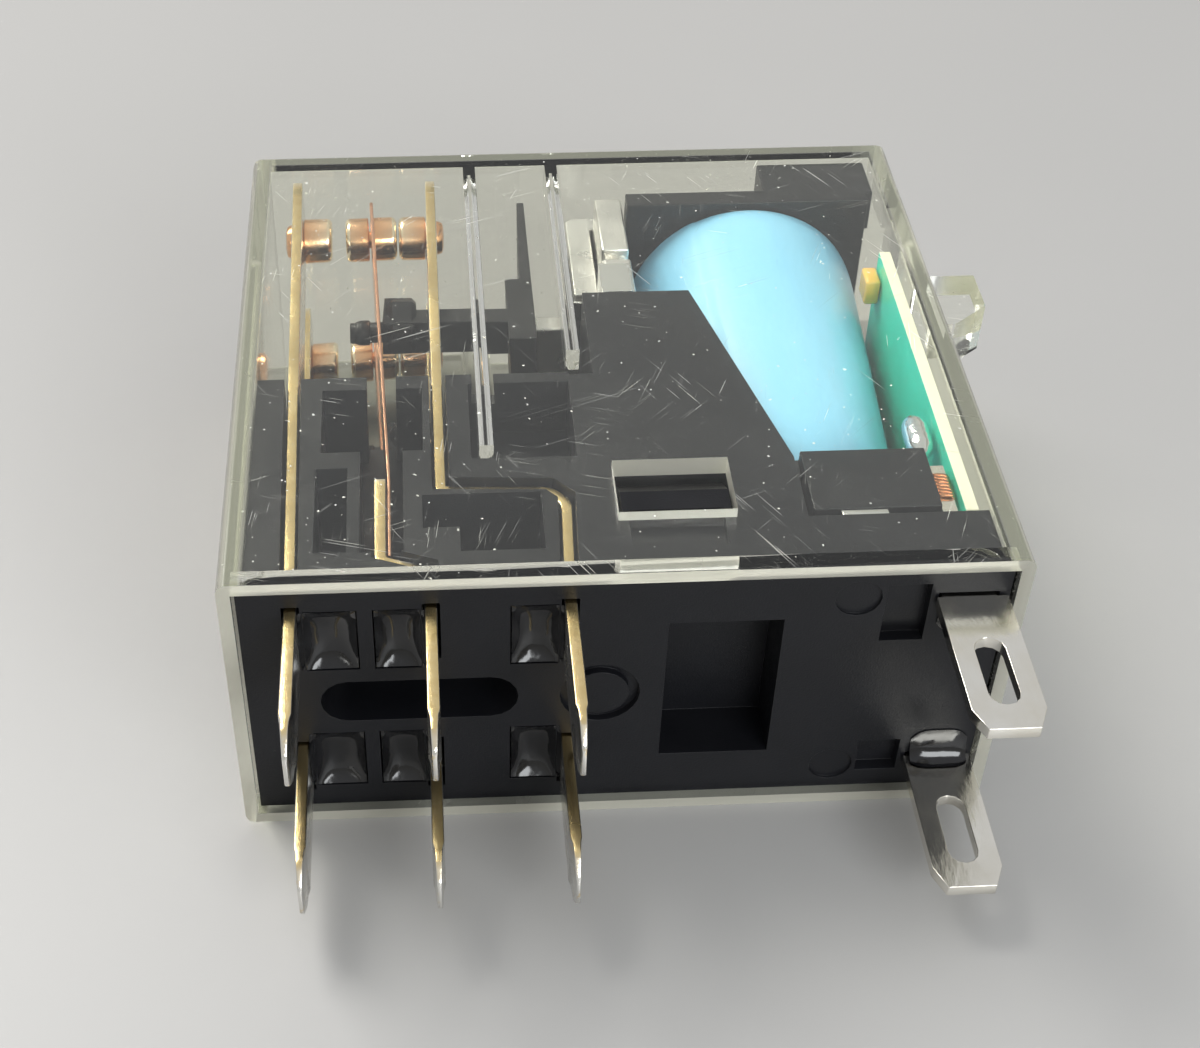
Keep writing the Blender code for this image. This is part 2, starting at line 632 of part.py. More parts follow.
def add_card(carrier):
    """The insulating card that carries the armature's push to both springs."""
    foot = CARD_Y - 1.7
    step = CARD_Y + 2.6
    tip = CONTACT_Y + 1.5
    outline = [(STEM_FACE - 1.2, foot), (STEM_FACE, foot), (STEM_FACE, tip), (STEM_FACE - 0.33, tip),
               (STEM_FACE - 0.55, step), (STEM_FACE - 1.2, step)]
    middle = prism(outline, CASE_THICKNESS - CARD_TOP, CARD_TOP)
    joined = [card_arm(1), card_arm(-1), card_pin(), flipped(card_pin(), -1)]
    piece("card", PLASTIC_BLACK, middle, joined=joined, carrier=carrier)


def add_contact_system():
    """Terminals, contacts and springs of both poles, and the card between them."""
    swing = joint_empty("card_swing", (SPRING_X, SPRING_ROOT_Y, MID))
    notch = block((NC_BLADE_X - 1, NC_BLADE_X + 1), (NECK_LOW - 0.4, NECK_HIGH + 0.65),
                  (POLE - 2, CARD_TOP + SEAT))
    for side, level in ((1, "upper"), (-1, "lower")):
        add_terminal(f"terminal_no_{level}", NO_PATH, side, [rivet_hole(NO_CONTACT_X)])
        add_terminal(f"terminal_com_{level}", COM_PATH, side)
        add_terminal(f"terminal_nc_{level}", NC_PATH, side, [rivet_hole(NC_BLADE_X), notch.copy()])
        add_coil_terminal(side, level)
        add_contact(f"contact_no_{level}", NO_CONTACT_X, NO_FACE, side)
        add_contact(f"contact_nc_{level}", NC_BLADE_X, NC_FACE, side)
        height = POLE if side > 0 else CASE_THICKNESS - POLE
        hinge = joint_empty(f"spring_hinge_{level}", (SPRING_X, SPRING_ROOT_Y, height))
        add_moving_spring(side, level, hinge)
        add_moving_contact(side, level, hinge)
        add_fillings(side, level)
    notch.free()
    add_card(swing)


# ---------------------------------------------------------------- magnet system

FOOT_Y = SLAB_END + 1.5
FOOT_HALF = 3.0
POLE_FACE = 3.1
CLIP_END = CARD_Y + 2.25


def coil_radius(y):
    """The outside of the taped coil, which swells towards the armature."""
    part = (y - COIL_START) / (COIL_END - COIL_START)
    return COIL_RADIUS_FRONT + (COIL_RADIUS_BACK - COIL_RADIUS_FRONT) * part


def add_bobbin():
    """The bobbin: tube, two flanges, the front blocks and the ears at the armature."""
    left = YOKE_X + YOKE + SEAT
    tube_radius = CORE_RADIUS + 0.6
    front = COIL_START - FLANGE_THICKNESS
    back = COIL_END + FLANGE_THICKNESS
    body = turned([(front, tube_radius), (back, tube_radius)], (COIL_X, 0, MID))
    edge = YOKE_DEPTH / 2
    right = COIL_PIN_X - 0.5
    joined = [block((left, right), (front, COIL_START), (MID - edge, MID + edge)),
              block((left, INNER_HALF - 0.6), (COIL_END, back), (SLAB_BOTTOM + 0.05, SLAB_TOP - 0.05))]
    for side in (1, -1):
        foot = block((COIL_X - 0.5, right), (SLAB_END + 0.45, COIL_START),
                     (MID + FOOT_HALF + 0.3, SLAB_TOP - 0.1))
        joined.append(flipped(foot, side))
        ear = block((COIL_X + 0.8, INNER_HALF - 0.3), (back - 0.4, INNER_END - SEAT),
                    (MID + ARMATURE_WIDTH / 2 + 0.3, SLAB_TOP - 0.05))
        joined.append(flipped(ear, side))
    bore = turned([(front - 1, CORE_RADIUS + FIT), (back + 1, CORE_RADIUS + FIT)], (COIL_X, 0, MID))
    piece("bobbin", PLASTIC_BLACK, body, joined=joined, cuts=[bore])


def add_coil():
    """The copper winding and the tape that wraps it."""
    tape = 0.15
    start = COIL_START + FIT
    end = COIL_END - FIT
    inner = CORE_RADIUS + 0.6 + CLOSE
    under = tape + CLOSE
    wound = [(start, inner), (start, coil_radius(start) - under), (end, coil_radius(end) - under), (end, inner)]
    piece("coil_winding", COPPER, turned(wound, (COIL_X, 0, MID), hollow=True), smooth=True)
    wrapped = [(start, coil_radius(start) - tape), (start, coil_radius(start)), (end, coil_radius(end)),
               (end, coil_radius(end) - tape)]
    piece("coil_tape", ((0.25, 0.5, 0.75), 0.35, 0.0), turned(wrapped, (COIL_X, 0, MID), hollow=True),
          smooth=True)


def add_core():
    """The iron core with its pole face."""
    back = COIL_END + FLANGE_THICKNESS
    front = FOOT_Y - 0.2
    profile = [(front, CORE_RADIUS - 0.2), (FOOT_Y, CORE_RADIUS), (back + CLOSE, CORE_RADIUS),
               (back + CLOSE, POLE_FACE), (YOKE_END, POLE_FACE)]
    piece("core", STEEL, turned(profile, (COIL_X, 0, MID)), smooth=True)


def add_yoke():
    """The L-shaped yoke: side plate beside the coil and foot under the core."""
    edge = YOKE_DEPTH / 2
    plate = block((YOKE_X, YOKE_X + YOKE), (FOOT_Y, YOKE_END), (MID - edge, MID + edge))
    foot_x = (YOKE_X + 0.1, COIL_PIN_X - 1.0)
    foot = block(foot_x, (FOOT_Y, FOOT_Y + YOKE), (MID - FOOT_HALF, MID + FOOT_HALF))
    hole = turned([(FOOT_Y - 1, CORE_RADIUS + FIT), (FOOT_Y + YOKE + 1, CORE_RADIUS + FIT)], (COIL_X, 0, MID))
    span = (CLIP_END + 0.85, CLIP_END + 1.55)
    notches = [flipped(block((YOKE_X - 1, YOKE_X + YOKE + 1), span, (MID + edge - 0.6, SLAB_TOP)), side)
               for side in (1, -1)]
    piece("yoke", STEEL, plate, joined=[foot], cuts=[hole] + notches)


def add_hinge_spring():
    """The leaf that clips on the yoke and holds the armature in its corner."""
    sheet = 0.15
    clip = CLIP_END - WALL_END - 0.28
    start = CLIP_END - clip
    x = YOKE_X - SEAT - sheet / 2
    path = [(x, start), (x, CLIP_END), (x - 1.5, CLIP_END + 0.2), (x - 1.5, CLIP_END + 2.45)]
    length = path_length(path)
    high = MID + ARMATURE_WIDTH / 2 - 0.1
    low = SLAB_BOTTOM + 1.1
    top = SLAB_TOP - 0.2
    outline = [(0, low), (clip, low), (clip, high - 1.1), (length, high - 1.1), (length, high), (clip, high),
               (clip, top), (0, top)]
    tab = block((x - sheet / 2, YOKE_X + 1.0), (start + 0.05, CLIP_END), (top - 0.2, top))
    piece("hinge_spring", STEEL, bent_strip(path, outline, sheet), joined=[tab])


def add_armature():
    """The angled armature: leg beside the yoke, toe at the card, plate over the core."""
    pivot = joint_empty("armature_pivot", (HINGE_X, HINGE_Y, MID))
    rise = math.tan(math.radians(ARMATURE_SWING))
    inner_x = YOKE_X - SEAT
    inner_y = YOKE_END + SEAT
    far = COIL_X + 2.9
    outer_x = inner_x - 1.1
    far_y = inner_y + (far - inner_x) * rise
    toe_y = CLIP_END + 0.55
    outline = [(inner_x, toe_y), (inner_x, inner_y), (far, far_y), (far, far_y + ARMATURE),
               (outer_x + 0.3, inner_y + ARMATURE), (outer_x, inner_y + ARMATURE - 0.3), (outer_x, toe_y)]
    half = ARMATURE_WIDTH / 2
    body = prism(outline, MID - half, MID + half)
    toe = block((STEM_FACE + SEAT, outer_x + 0.2), (toe_y, toe_y + 1.0), (MID - 1.5, MID + 1.5))
    piece("armature", STEEL, body, joined=[toe], carrier=pivot)


def add_locking_strip():
    """The metal strip that locks the bobbin against the base."""
    piece("locking_strip", STEEL, block((COIL_X + 0.5, COIL_X + 2.25), (SLAB_END + 0.08, SLAB_END + 0.38),
                                        (SLAB_BOTTOM + 0.1, SLAB_TOP - 0.1)))


# ---------------------------------------------------------------- indicator board

BOARD_END = COIL_END - 3.3


def add_lead(side, level):
    """The coil's wire end: turns round the pin's tail, then back to the winding."""
    middle = COIL_PIN_Z
    half = COIL_PIN_THICKNESS / 2
    outside = half + 0.25
    inside = half + CLOSE
    collar = block((COIL_PIN_X - 0.45, COIL_PIN_X + 0.46), (5.0, 6.6), (middle - outside, middle + outside),
                   rounding=0.12)
    hole = block((COIL_PIN_X - 0.3, COIL_PIN_X + 0.39), (4, 8), (middle - inside, middle + inside))
    rise = coil_radius(COIL_START) + 0.25
    turn = [math.radians(a) for a in (41, 44, 47)]
    run = [(COIL_PIN_X - 0.25, 6.3, middle + half + 0.16), (COIL_PIN_X - 0.3, 7.3, middle + half + 0.15)]
    run += [(COIL_X + rise * math.cos(a), 7.7, MID + rise * math.sin(a)) for a in turn]
    wire = tube(run, 0.09)
    piece(f"coil_lead_{level}", COPPER, flipped(collar, side), joined=[flipped(wire, side)],
          cuts=[flipped(hole, side)])


def add_solder(side, level):
    """The solder bead that ties a pin's tail to the board."""
    profile = [(-1.25 * math.cos(math.pi * k / 8), 0.12 + 0.5 * math.sin(math.pi * k / 8)) for k in range(9)]
    middle = COIL_PIN_Z
    bead = turned(profile, (BOARD_X - 0.72, 9.0, middle), segments=SMALL_ROUND)
    piece(f"solder_joint_{level}", SOLDER, flipped(bead, side), smooth=True)


def add_board():
    """The small circuit board beside the coil, with its lamp and its two chips."""
    board_top = CASE_THICKNESS - BOARD_MARGIN
    piece("circuit_board", ((0.75, 0.74, 0.6), 0.5, 0.0),
          block((BOARD_X, BOARD_X + BOARD), (SLAB_END + 0.7, BOARD_END), (BOARD_MARGIN, board_top)))
    face = BOARD_X - CLOSE
    led = block((face - 0.65, face), (BOARD_END - 1.3, BOARD_END - 0.1), (board_top - 1.9, board_top - 0.7),
                rounding=0.12)
    piece("led", ((0.95, 0.55, 0.1), 0.15, 0.0), led)
    resistor = block((face - 0.45, face), (14.0, 15.6), (BOARD_MARGIN + 1.5, BOARD_MARGIN + 2.3), 0.06)
    piece("resistor", ((0.05, 0.05, 0.05), 0.4, 0.0), resistor)
    diode = block((face - 0.85, face), (10.5, 13.1), (BOARD_MARGIN + 0.9, BOARD_MARGIN + 2.5), 0.1)
    piece("diode", ((0.04, 0.04, 0.04), 0.4, 0.0), diode)
    for side, level in ((1, "upper"), (-1, "lower")):
        add_lead(side, level)
        add_solder(side, level)


def add_magnet_system():
    """Coil, core, yoke and armature."""
    add_bobbin()
    add_coil()
    add_core()
    add_yoke()
    add_hinge_spring()
    add_armature()
    add_locking_strip()


for old in list(bpy.data.objects):
    bpy.data.objects.remove(old, do_unlink=True)
add_cover()
add_base()
add_contact_system()
add_magnet_system()
add_board()
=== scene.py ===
import math

import bmesh
import bpy
import numpy as np
from mathutils import Matrix, Vector


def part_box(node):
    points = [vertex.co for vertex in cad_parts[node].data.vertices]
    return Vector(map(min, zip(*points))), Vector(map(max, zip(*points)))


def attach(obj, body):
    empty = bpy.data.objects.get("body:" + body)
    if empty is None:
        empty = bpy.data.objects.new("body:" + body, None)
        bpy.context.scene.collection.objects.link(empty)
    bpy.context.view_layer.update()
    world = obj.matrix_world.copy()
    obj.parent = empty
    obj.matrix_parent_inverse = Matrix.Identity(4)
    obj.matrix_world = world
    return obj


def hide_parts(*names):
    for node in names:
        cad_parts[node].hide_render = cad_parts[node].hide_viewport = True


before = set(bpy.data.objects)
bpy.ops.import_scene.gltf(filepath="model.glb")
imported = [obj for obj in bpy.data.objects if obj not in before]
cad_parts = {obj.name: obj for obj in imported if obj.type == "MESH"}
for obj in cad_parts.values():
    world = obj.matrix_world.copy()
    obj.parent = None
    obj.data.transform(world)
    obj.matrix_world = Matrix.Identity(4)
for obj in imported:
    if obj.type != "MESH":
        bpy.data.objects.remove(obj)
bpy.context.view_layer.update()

# ---- Floor, light and viewpoint -------------------------------------------
# The relay lies on a plain pale bench under two soft boxes and an even sky.
# The eye stands in front of the pins and looks down on the large flat side.

MM = 0.001
EYE = (-6.8 * MM, -62.59 * MM, 58.75 * MM)
ELEVATION = 42.71
HEADING = 3.07
ROLL = 0.28
LENS = 57.36

camera_data = bpy.data.cameras.new("camera")
camera_data.lens = LENS
camera_data.sensor_width = 36.0
camera_data.shift_x = 0.075
camera_data.shift_y = 0.023
camera_data.clip_start = 0.002
camera_data.clip_end = 5.0
camera = bpy.data.objects.new("camera", camera_data)
camera.matrix_world = (Matrix.Translation(EYE) @ Matrix.Rotation(math.radians(-HEADING), 4, "Z")
                       @ Matrix.Rotation(math.radians(90 - ELEVATION), 4, "X")
                       @ Matrix.Rotation(math.radians(ROLL), 4, "Z"))
bpy.context.scene.collection.objects.link(camera)
bpy.context.scene.camera = camera


def soft_box(name, place, aim, width, height, power, colour):
    """A rectangular lamp at a place, turned to face the aim point."""
    data = bpy.data.lights.new(name, "AREA")
    data.shape = "RECTANGLE"
    data.size = width
    data.size_y = height
    data.energy = power
    data.color = colour
    lamp = bpy.data.objects.new(name, data)
    way = Vector(aim) - Vector(place)
    lamp.matrix_world = Matrix.Translation(place) @ way.to_track_quat("-Z", "Y").to_matrix().to_4x4()
    bpy.context.scene.collection.objects.link(lamp)


soft_box("key_light", (-0.16, 0.16, 0.26), (0, 0, 0), 0.16, 0.16, 0.9, (1.0, 0.98, 0.95))
soft_box("front_light", (0.10, -0.22, 0.12), (0, 0, 0.005), 0.18, 0.10, 0.5, (0.95, 0.98, 1.0))

sky = bpy.data.worlds.new("sky")
sky.use_nodes = True
sky_nodes = sky.node_tree.nodes
sky_links = sky.node_tree.links
sky_place = sky_nodes.new("ShaderNodeTexCoord")
sky_split = sky_nodes.new("ShaderNodeSeparateXYZ")
sky_ramp = sky_nodes.new("ShaderNodeValToRGB")
sky_ramp.color_ramp.elements[0].position = 0.0
sky_ramp.color_ramp.elements[0].color = (0.52, 0.51, 0.47, 1)
sky_ramp.color_ramp.elements[1].position = 0.75
sky_ramp.color_ramp.elements[1].color = (0.70, 0.71, 0.73, 1)
sky_links.new(sky_place.outputs["Generated"], sky_split.inputs[0])
sky_links.new(sky_split.outputs["Z"], sky_ramp.inputs[0])
sky_links.new(sky_ramp.outputs["Color"], sky_nodes["Background"].inputs["Color"])
sky_nodes["Background"].inputs["Strength"].default_value = 0.9
bpy.context.scene.world = sky
bpy.context.scene.view_settings.view_transform = "Standard"

FLOOR_HALF = 1.2
floor_data = bpy.data.meshes.new("bench")
corners = [(x * FLOOR_HALF, y * FLOOR_HALF, 0) for x, y in ((-1, -1), (1, -1), (1, 1), (-1, 1))]
floor_data.from_pydata(corners, [], [(0, 1, 2, 3)])
bench = bpy.data.objects.new("bench", floor_data)
bpy.context.scene.collection.objects.link(bench)


class Finish:
    """A material with one Principled shader and small helpers that wire patterns into it."""

    def __init__(self, name, colour, roughness, metallic=0.0, **sockets):
        self.material = bpy.data.materials.new(name)
        self.material.use_nodes = True
        self.nodes = self.material.node_tree.nodes
        self.links = self.material.node_tree.links
        self.shader = self.nodes["Principled BSDF"]
        self.shader.inputs["Base Color"].default_value = (*colour, 1.0)
        self.shader.inputs["Roughness"].default_value = roughness
        self.shader.inputs["Metallic"].default_value = metallic
        for socket, value in sockets.items():
            self.shader.inputs[socket.replace("_", " ")].default_value = value
        coordinates = self.nodes.new("ShaderNodeTexCoord")
        self.place = coordinates.outputs["Object"]
        self.normal = coordinates.outputs["Normal"]

    def stretched(self, scale, turn=(0, 0, 0)):
        """Object coordinates turned, then counted in millimetres times a scale along each axis."""
        turned = self.nodes.new("ShaderNodeMapping")
        turned.inputs["Rotation"].default_value = [math.radians(a) for a in turn]
        self.links.new(self.place, turned.inputs["Vector"])
        mapping = self.nodes.new("ShaderNodeMapping")
        mapping.inputs["Scale"].default_value = [s / MM for s in scale]
        self.links.new(turned.outputs[0], mapping.inputs["Vector"])
        return mapping.outputs[0]

    def noise(self, scale, detail, turn=(0, 0, 0)):
        """Cloudy noise with about one blob per millimetre at scale 1."""
        noise = self.nodes.new("ShaderNodeTexNoise")
        noise.inputs["Scale"].default_value = 1.0
        noise.inputs["Detail"].default_value = detail
        self.links.new(self.stretched(scale, turn), noise.inputs["Vector"])
        return noise.outputs["Fac"]

    def ramp(self, factor, low, high, low_value=0.0, high_value=1.0):
        """A factor stretched so that low becomes low_value and high becomes high_value."""
        node = self.nodes.new("ShaderNodeMapRange")
        limits = {"From Min": low, "From Max": high, "To Min": low_value, "To Max": high_value}
        for socket, value in limits.items():
            node.inputs[socket].default_value = value
        self.links.new(factor, node.inputs["Value"])
        return node.outputs[0]

    def math(self, kind, first, second=0.0):
        """One arithmetic step on two factors, or on a factor and a number."""
        node = self.nodes.new("ShaderNodeMath")
        node.operation = kind
        for socket, value in zip(node.inputs, (first, second)):
            if isinstance(value, (int, float)):
                socket.default_value = value
            else:
                self.links.new(value, socket)
        return node.outputs[0]

    def blend(self, factor, first, second):
        """A mix of two colours, each a triple or another node's output."""
        node = self.nodes.new("ShaderNodeMix")
        node.data_type = "RGBA"
        self.links.new(factor, node.inputs[0])
        for socket, value in zip((node.inputs[6], node.inputs[7]), (first, second)):
            if isinstance(value, tuple):
                socket.default_value = (*value, 1.0)
            else:
                self.links.new(value, socket)
        return node.outputs[2]

    def attribute(self, name):
        """A number that the mesh carries at each point."""
        node = self.nodes.new("ShaderNodeAttribute")
        node.attribute_name = name
        return node.outputs["Fac"]

    def split(self, vector):
        """The X, Y and Z of a vector output."""
        node = self.nodes.new("ShaderNodeSeparateXYZ")
        self.links.new(vector, node.inputs[0])
        return node.outputs

    def wire(self, value, socket):
        """Drives one of the shader's sockets from a node."""
        self.links.new(value, self.shader.inputs[socket])

    def bump(self, height, depth, strength=1.0):
        """Raises the surface by a height factor times a depth in millimetres."""
        node = self.nodes.new("ShaderNodeBump")
        node.inputs["Distance"].default_value = depth * MM
        node.inputs["Strength"].default_value = strength
        self.links.new(height, node.inputs["Height"])
        self.links.new(node.outputs[0], self.shader.inputs["Normal"])
        return self


pale = Finish("pale_bench", (0.40, 0.395, 0.385), 0.42)
grain = pale.noise((0.02, 0.02, 0.02), 2.0)
pale.wire(pale.blend(grain, (0.38, 0.375, 0.365), (0.43, 0.425, 0.415)), "Base Color")
floor_data.materials.append(pale.material)


# ---- Clear cover ------------------------------------------------------------
# One polycarbonate moulding, open at the pins, 0.8 mm thick, with two snap
# windows, four guide ribs and a lug. Handling has scratched its large faces,
# and its cut ends are duller and creamier than its polished faces. Its rounded
# edges carry a painted highlight of milky cream, and its large faces carry
# painted light in an olive grey band over the side and back walls, where the
# walls are seen edge-on.

def eased(node, width=0.0, segments=2, smooth=40.0):
    """A copy of a CAD node with its points merged and its sharp edges rounded by a bevel."""
    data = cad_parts[node].data.copy()
    data.materials.clear()
    item = bpy.data.objects.new(node + "_form", data)
    bpy.context.scene.collection.objects.link(item)
    weld = item.modifiers.new("merge", "WELD")
    weld.merge_threshold = 0.000001
    thin = item.modifiers.new("flatten", "DECIMATE")
    thin.decimate_type = "DISSOLVE"
    thin.angle_limit = math.radians(0.5)
    if width:
        bevel = item.modifiers.new("ease", "BEVEL")
        bevel.width = width * MM
        bevel.segments = segments
        bevel.limit_method = "ANGLE"
        bevel.angle_limit = math.radians(30)
        bevel.use_clamp_overlap = True
    item.data = evaluated(item)
    item.modifiers.clear()
    item.data.shade_smooth()
    item.data.set_sharp_from_angle(angle=math.radians(smooth))
    weigh = item.modifiers.new("flat_faces", "WEIGHTED_NORMAL")
    weigh.keep_sharp = True
    weigh.weight = 100
    item.data = evaluated(item)
    item.modifiers.clear()
    return item


def evaluated(item):
    """The mesh of an item with its modifiers applied."""
    depsgraph = bpy.context.evaluated_depsgraph_get()
    return bpy.data.meshes.new_from_object(item.evaluated_get(depsgraph))


def settle(item, finish, body, *nodes, slot):
    """Gives a piece its finish and body, and lets it stand for its CAD nodes if it has any. The slot is
    not used.
    """
    item.data.materials.clear()
    item.data.materials.append(finish.material)
    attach(item, body)
    if nodes:
        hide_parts(*nodes)


COVER_LOW, COVER_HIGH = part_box("cover")
WALL = 0.8 * MM
HALF_WIDTH = -COVER_LOW[0]
HALF_THICKNESS = COVER_HIGH[2] / 2
OPEN_END = COVER_LOW[1] + 1.2 * MM
WINDOW_X = (-0.2 * MM, 4.4 * MM)
WINDOW_Y = (-11.1 * MM, -7.9 * MM)
LARGEST_ROUNDED = 12 * MM ** 2


def mark_ends_and_edge_highlight(item):
    """Marks the faces of the open end and of the windows' walls with 1, and the rounded edges with 0.8 as
    a painted highlight of milky cream.
    """
    in_large_wall = HALF_THICKNESS - WALL - 0.1 * MM
    value = []
    for face in item.data.polygons:
        x, y, z = face.center
        open_end = abs(face.normal.y) > 0.7 and y < OPEN_END
        beside_window = WINDOW_X[0] < x < WINDOW_X[1] and WINDOW_Y[0] < y < WINDOW_Y[1]
        wall = abs(face.normal.z) < 0.5 and beside_window and abs(z - HALF_THICKNESS) > in_large_wall
        tilted = max(abs(c) for c in face.normal) < 0.97
        rounded = tilted and face.area < LARGEST_ROUNDED and abs(x) < HALF_WIDTH
        value.append(1.0 if open_end or wall else 0.8 if rounded else 0.0)
    item.data.attributes.new("ends_and_painted_light", "FLOAT", "FACE").data.foreach_set("value", value)
    return item


def scratch_layer(finish, turn, length, width, patch):
    """Sparse straight hairlines at one angle, kept to the patches of a large soft noise."""
    lines = finish.ramp(finish.noise((width, length, width), 0.0, (0, 0, turn)), 0.775, 0.82)
    place = finish.ramp(finish.noise((patch, patch, patch), 1.0, (0, 0, turn + 17)), 0.55, 0.68)
    return finish.math("MULTIPLY", lines, place)


POLISHED = (0.955, 0.957, 0.895)
CUT_END = (0.88, 0.86, 0.74)
# Olive grey painted on the large faces over the walls: painted light that stands for the walls seen
# edge-on through the face.
PAINTED_WALL_LIGHT = (0.52, 0.53, 0.41)
SHADOW_TINT = (0.93, 0.935, 0.9)
SCRATCH_WHITE = 0.25
DUST_WHITE = 0.7
ENDS_AND_PAINTED_WHITE = 0.36
DULL_ROUGHNESS = 0.32
clear = Finish("clear_cover", POLISHED, 0.03, IOR=1.49, Transmission_Weight=1.0)
scratches = scratch_layer(clear, 23, 0.28, 15, 0.21)
for turn, length, width, patch in ((-31, 0.33, 17, 0.26), (67, 0.22, 13, 0.17), (8, 0.45, 21, 0.31),
                                   (-74, 0.38, 19, 0.23), (44, 0.30, 16, 0.19)):
    scratches = clear.math("MAXIMUM", scratches, scratch_layer(clear, turn, length, width, patch))
dust = clear.ramp(clear.noise((4.3, 4.3, 4.3), 1.0, (31, 12, 47)), 0.77, 0.80)
marks = clear.math("MAXIMUM", clear.math("MULTIPLY", scratches, SCRATCH_WHITE),
                   clear.math("MULTIPLY", dust, DUST_WHITE))
spot = clear.split(clear.place)
across = clear.math("ABSOLUTE", spot["X"])
inner_side = HALF_WIDTH - WALL
inner_back = COVER_HIGH[1] - WALL
# Strips of the large faces right over the side and back walls, which get the painted wall light.
beside = clear.math("MULTIPLY", clear.ramp(across, inner_side - 0.08 * MM, inner_side + 0.02 * MM),
                    clear.ramp(across, HALF_WIDTH, HALF_WIDTH + 0.04 * MM, 1.0, 0.0))
behind = clear.ramp(spot["Y"], inner_back - 0.08 * MM, inner_back + 0.02 * MM)
flat = clear.ramp(clear.math("ABSOLUTE", clear.split(clear.normal)["Z"]), 0.9, 0.95)
painted_wall_band = clear.math("MULTIPLY", flat, clear.math("MAXIMUM", beside, behind))
# 1 on the open end and the windows' walls, 0.8 on the rounded edges, where the milky cream is a painted
# highlight.
ends_and_edge_highlight = clear.attribute("ends_and_painted_light")
ends_and_painted_light = clear.math("MAXIMUM", ends_and_edge_highlight, clear.math("MULTIPLY", painted_wall_band, 0.9))
scratched = clear.ramp(scratches, 0, 1, 0.03, 0.3)
clear.wire(clear.math("MAXIMUM", scratched, clear.math("MULTIPLY", ends_and_edge_highlight, DULL_ROUGHNESS)), "Roughness")
# The milky white comes from the scratches and dust, from the ends, and from the painted edge highlight and
# painted wall light.
marks_ends_and_painted_light = clear.math("MAXIMUM", marks, clear.math("MULTIPLY", ends_and_painted_light, ENDS_AND_PAINTED_WHITE))
clear.wire(clear.math("SUBTRACT", 1.0, marks_ends_and_painted_light), "Transmission Weight")
clear.wire(clear.blend(painted_wall_band, clear.blend(ends_and_edge_highlight, POLISHED, CUT_END), PAINTED_WALL_LIGHT), "Base Color")
open_way = clear.nodes.new("ShaderNodeBsdfTransparent")
open_way.inputs["Color"].default_value = (*SHADOW_TINT, 1)
ray = clear.nodes.new("ShaderNodeLightPath")
choose = clear.nodes.new("ShaderNodeMixShader")
clear.links.new(ray.outputs["Is Shadow Ray"], choose.inputs[0])
clear.links.new(clear.shader.outputs[0], choose.inputs[1])
clear.links.new(open_way.outputs[0], choose.inputs[2])
clear.links.new(choose.outputs[0], clear.nodes["Material Output"].inputs["Surface"])
settle(mark_ends_and_edge_highlight(eased("cover")), clear, "housing", "cover", slot="clear_cover")


# ---- Black base -------------------------------------------------------------
# A glass-filled moulding that carries every terminal, with an insulating wall
# and two thin roofs beside the coil. It snaps into the cover's windows.

def black_plastic(name, colour, roughness):
    """Satin black moulding, a little cloudy, with a fine spark-eroded grain."""
    finish = Finish(name, colour, roughness, Specular_IOR_Level=0.28)
    cloud = finish.noise((0.35, 0.35, 0.35), 4.0)
    finish.wire(finish.blend(cloud, colour, tuple(c * 1.8 + 0.001 for c in colour)), "Base Color")
    finish.wire(finish.ramp(cloud, 0.3, 0.7, roughness - 0.07, roughness + 0.1), "Roughness")
    return finish.bump(finish.noise((14, 14, 14), 2.0), 0.006)


base_black = black_plastic("base_plastic", (0.0040, 0.0042, 0.0055), 0.36)
settle(eased("base", 0.05), base_black, "housing", "base", slot="base_plastic")


# ---- Sealing resin ----------------------------------------------------------
# Black casting resin run into the well beside each pin. It wets the metal, so
# its surface sinks in the well and climbs a little up the blade.

def outward(data):
    """Turns a closed mesh's faces outwards, after points that coincide are merged."""
    mesh = bmesh.new()
    mesh.from_mesh(data)
    bmesh.ops.remove_doubles(mesh, verts=mesh.verts, dist=1e-7)
    bmesh.ops.recalc_face_normals(mesh, faces=mesh.faces)
    mesh.to_mesh(data)
    mesh.free()


def two_sheets(name, front, back):
    """A closed piece between two sheets of points that share their outline's order."""
    rows, columns = front.shape[:2]
    index = np.arange(rows * columns).reshape(rows, columns)
    quads = np.stack([index[:-1, :-1], index[:-1, 1:], index[1:, 1:], index[1:, :-1]], -1).reshape(-1, 4)
    rim = np.concatenate([index[0, :-1], index[:-1, -1], index[-1, :0:-1], index[:0:-1, 0]])
    count = rows * columns
    sides = np.stack([rim, np.roll(rim, -1), np.roll(rim, -1) + count, rim + count], -1)
    faces = np.concatenate([quads, quads[:, ::-1] + count, sides]).tolist()
    data = bpy.data.meshes.new(name)
    data.from_pydata(np.concatenate([front.reshape(-1, 3), back.reshape(-1, 3)]).tolist(), [], faces)
    outward(data)
    data.shade_smooth()
    data.set_sharp_from_angle(angle=math.radians(60))
    item = bpy.data.objects.new(name, data)
    bpy.context.scene.collection.objects.link(item)
    return item


resin = Finish("sealing_resin", (0.004, 0.004, 0.005), 0.12, Coat_Weight=0.2, Coat_Roughness=0.04)
resin.bump(resin.noise((1.6, 1.6, 1.6), 2.0), 0.03, 0.6)
RESIN_DEPTH = 0.5 * MM
RESIN_CLIMB = 0.5 * MM
RESIN_CLIMB_REACH = 0.22 * MM
GAP_TO_BLADE = 0.21 * MM
BELOW_FACE = 0.05 * MM
WELL_DEPTH = 0.7 * MM
FACE_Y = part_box("base")[0][1]


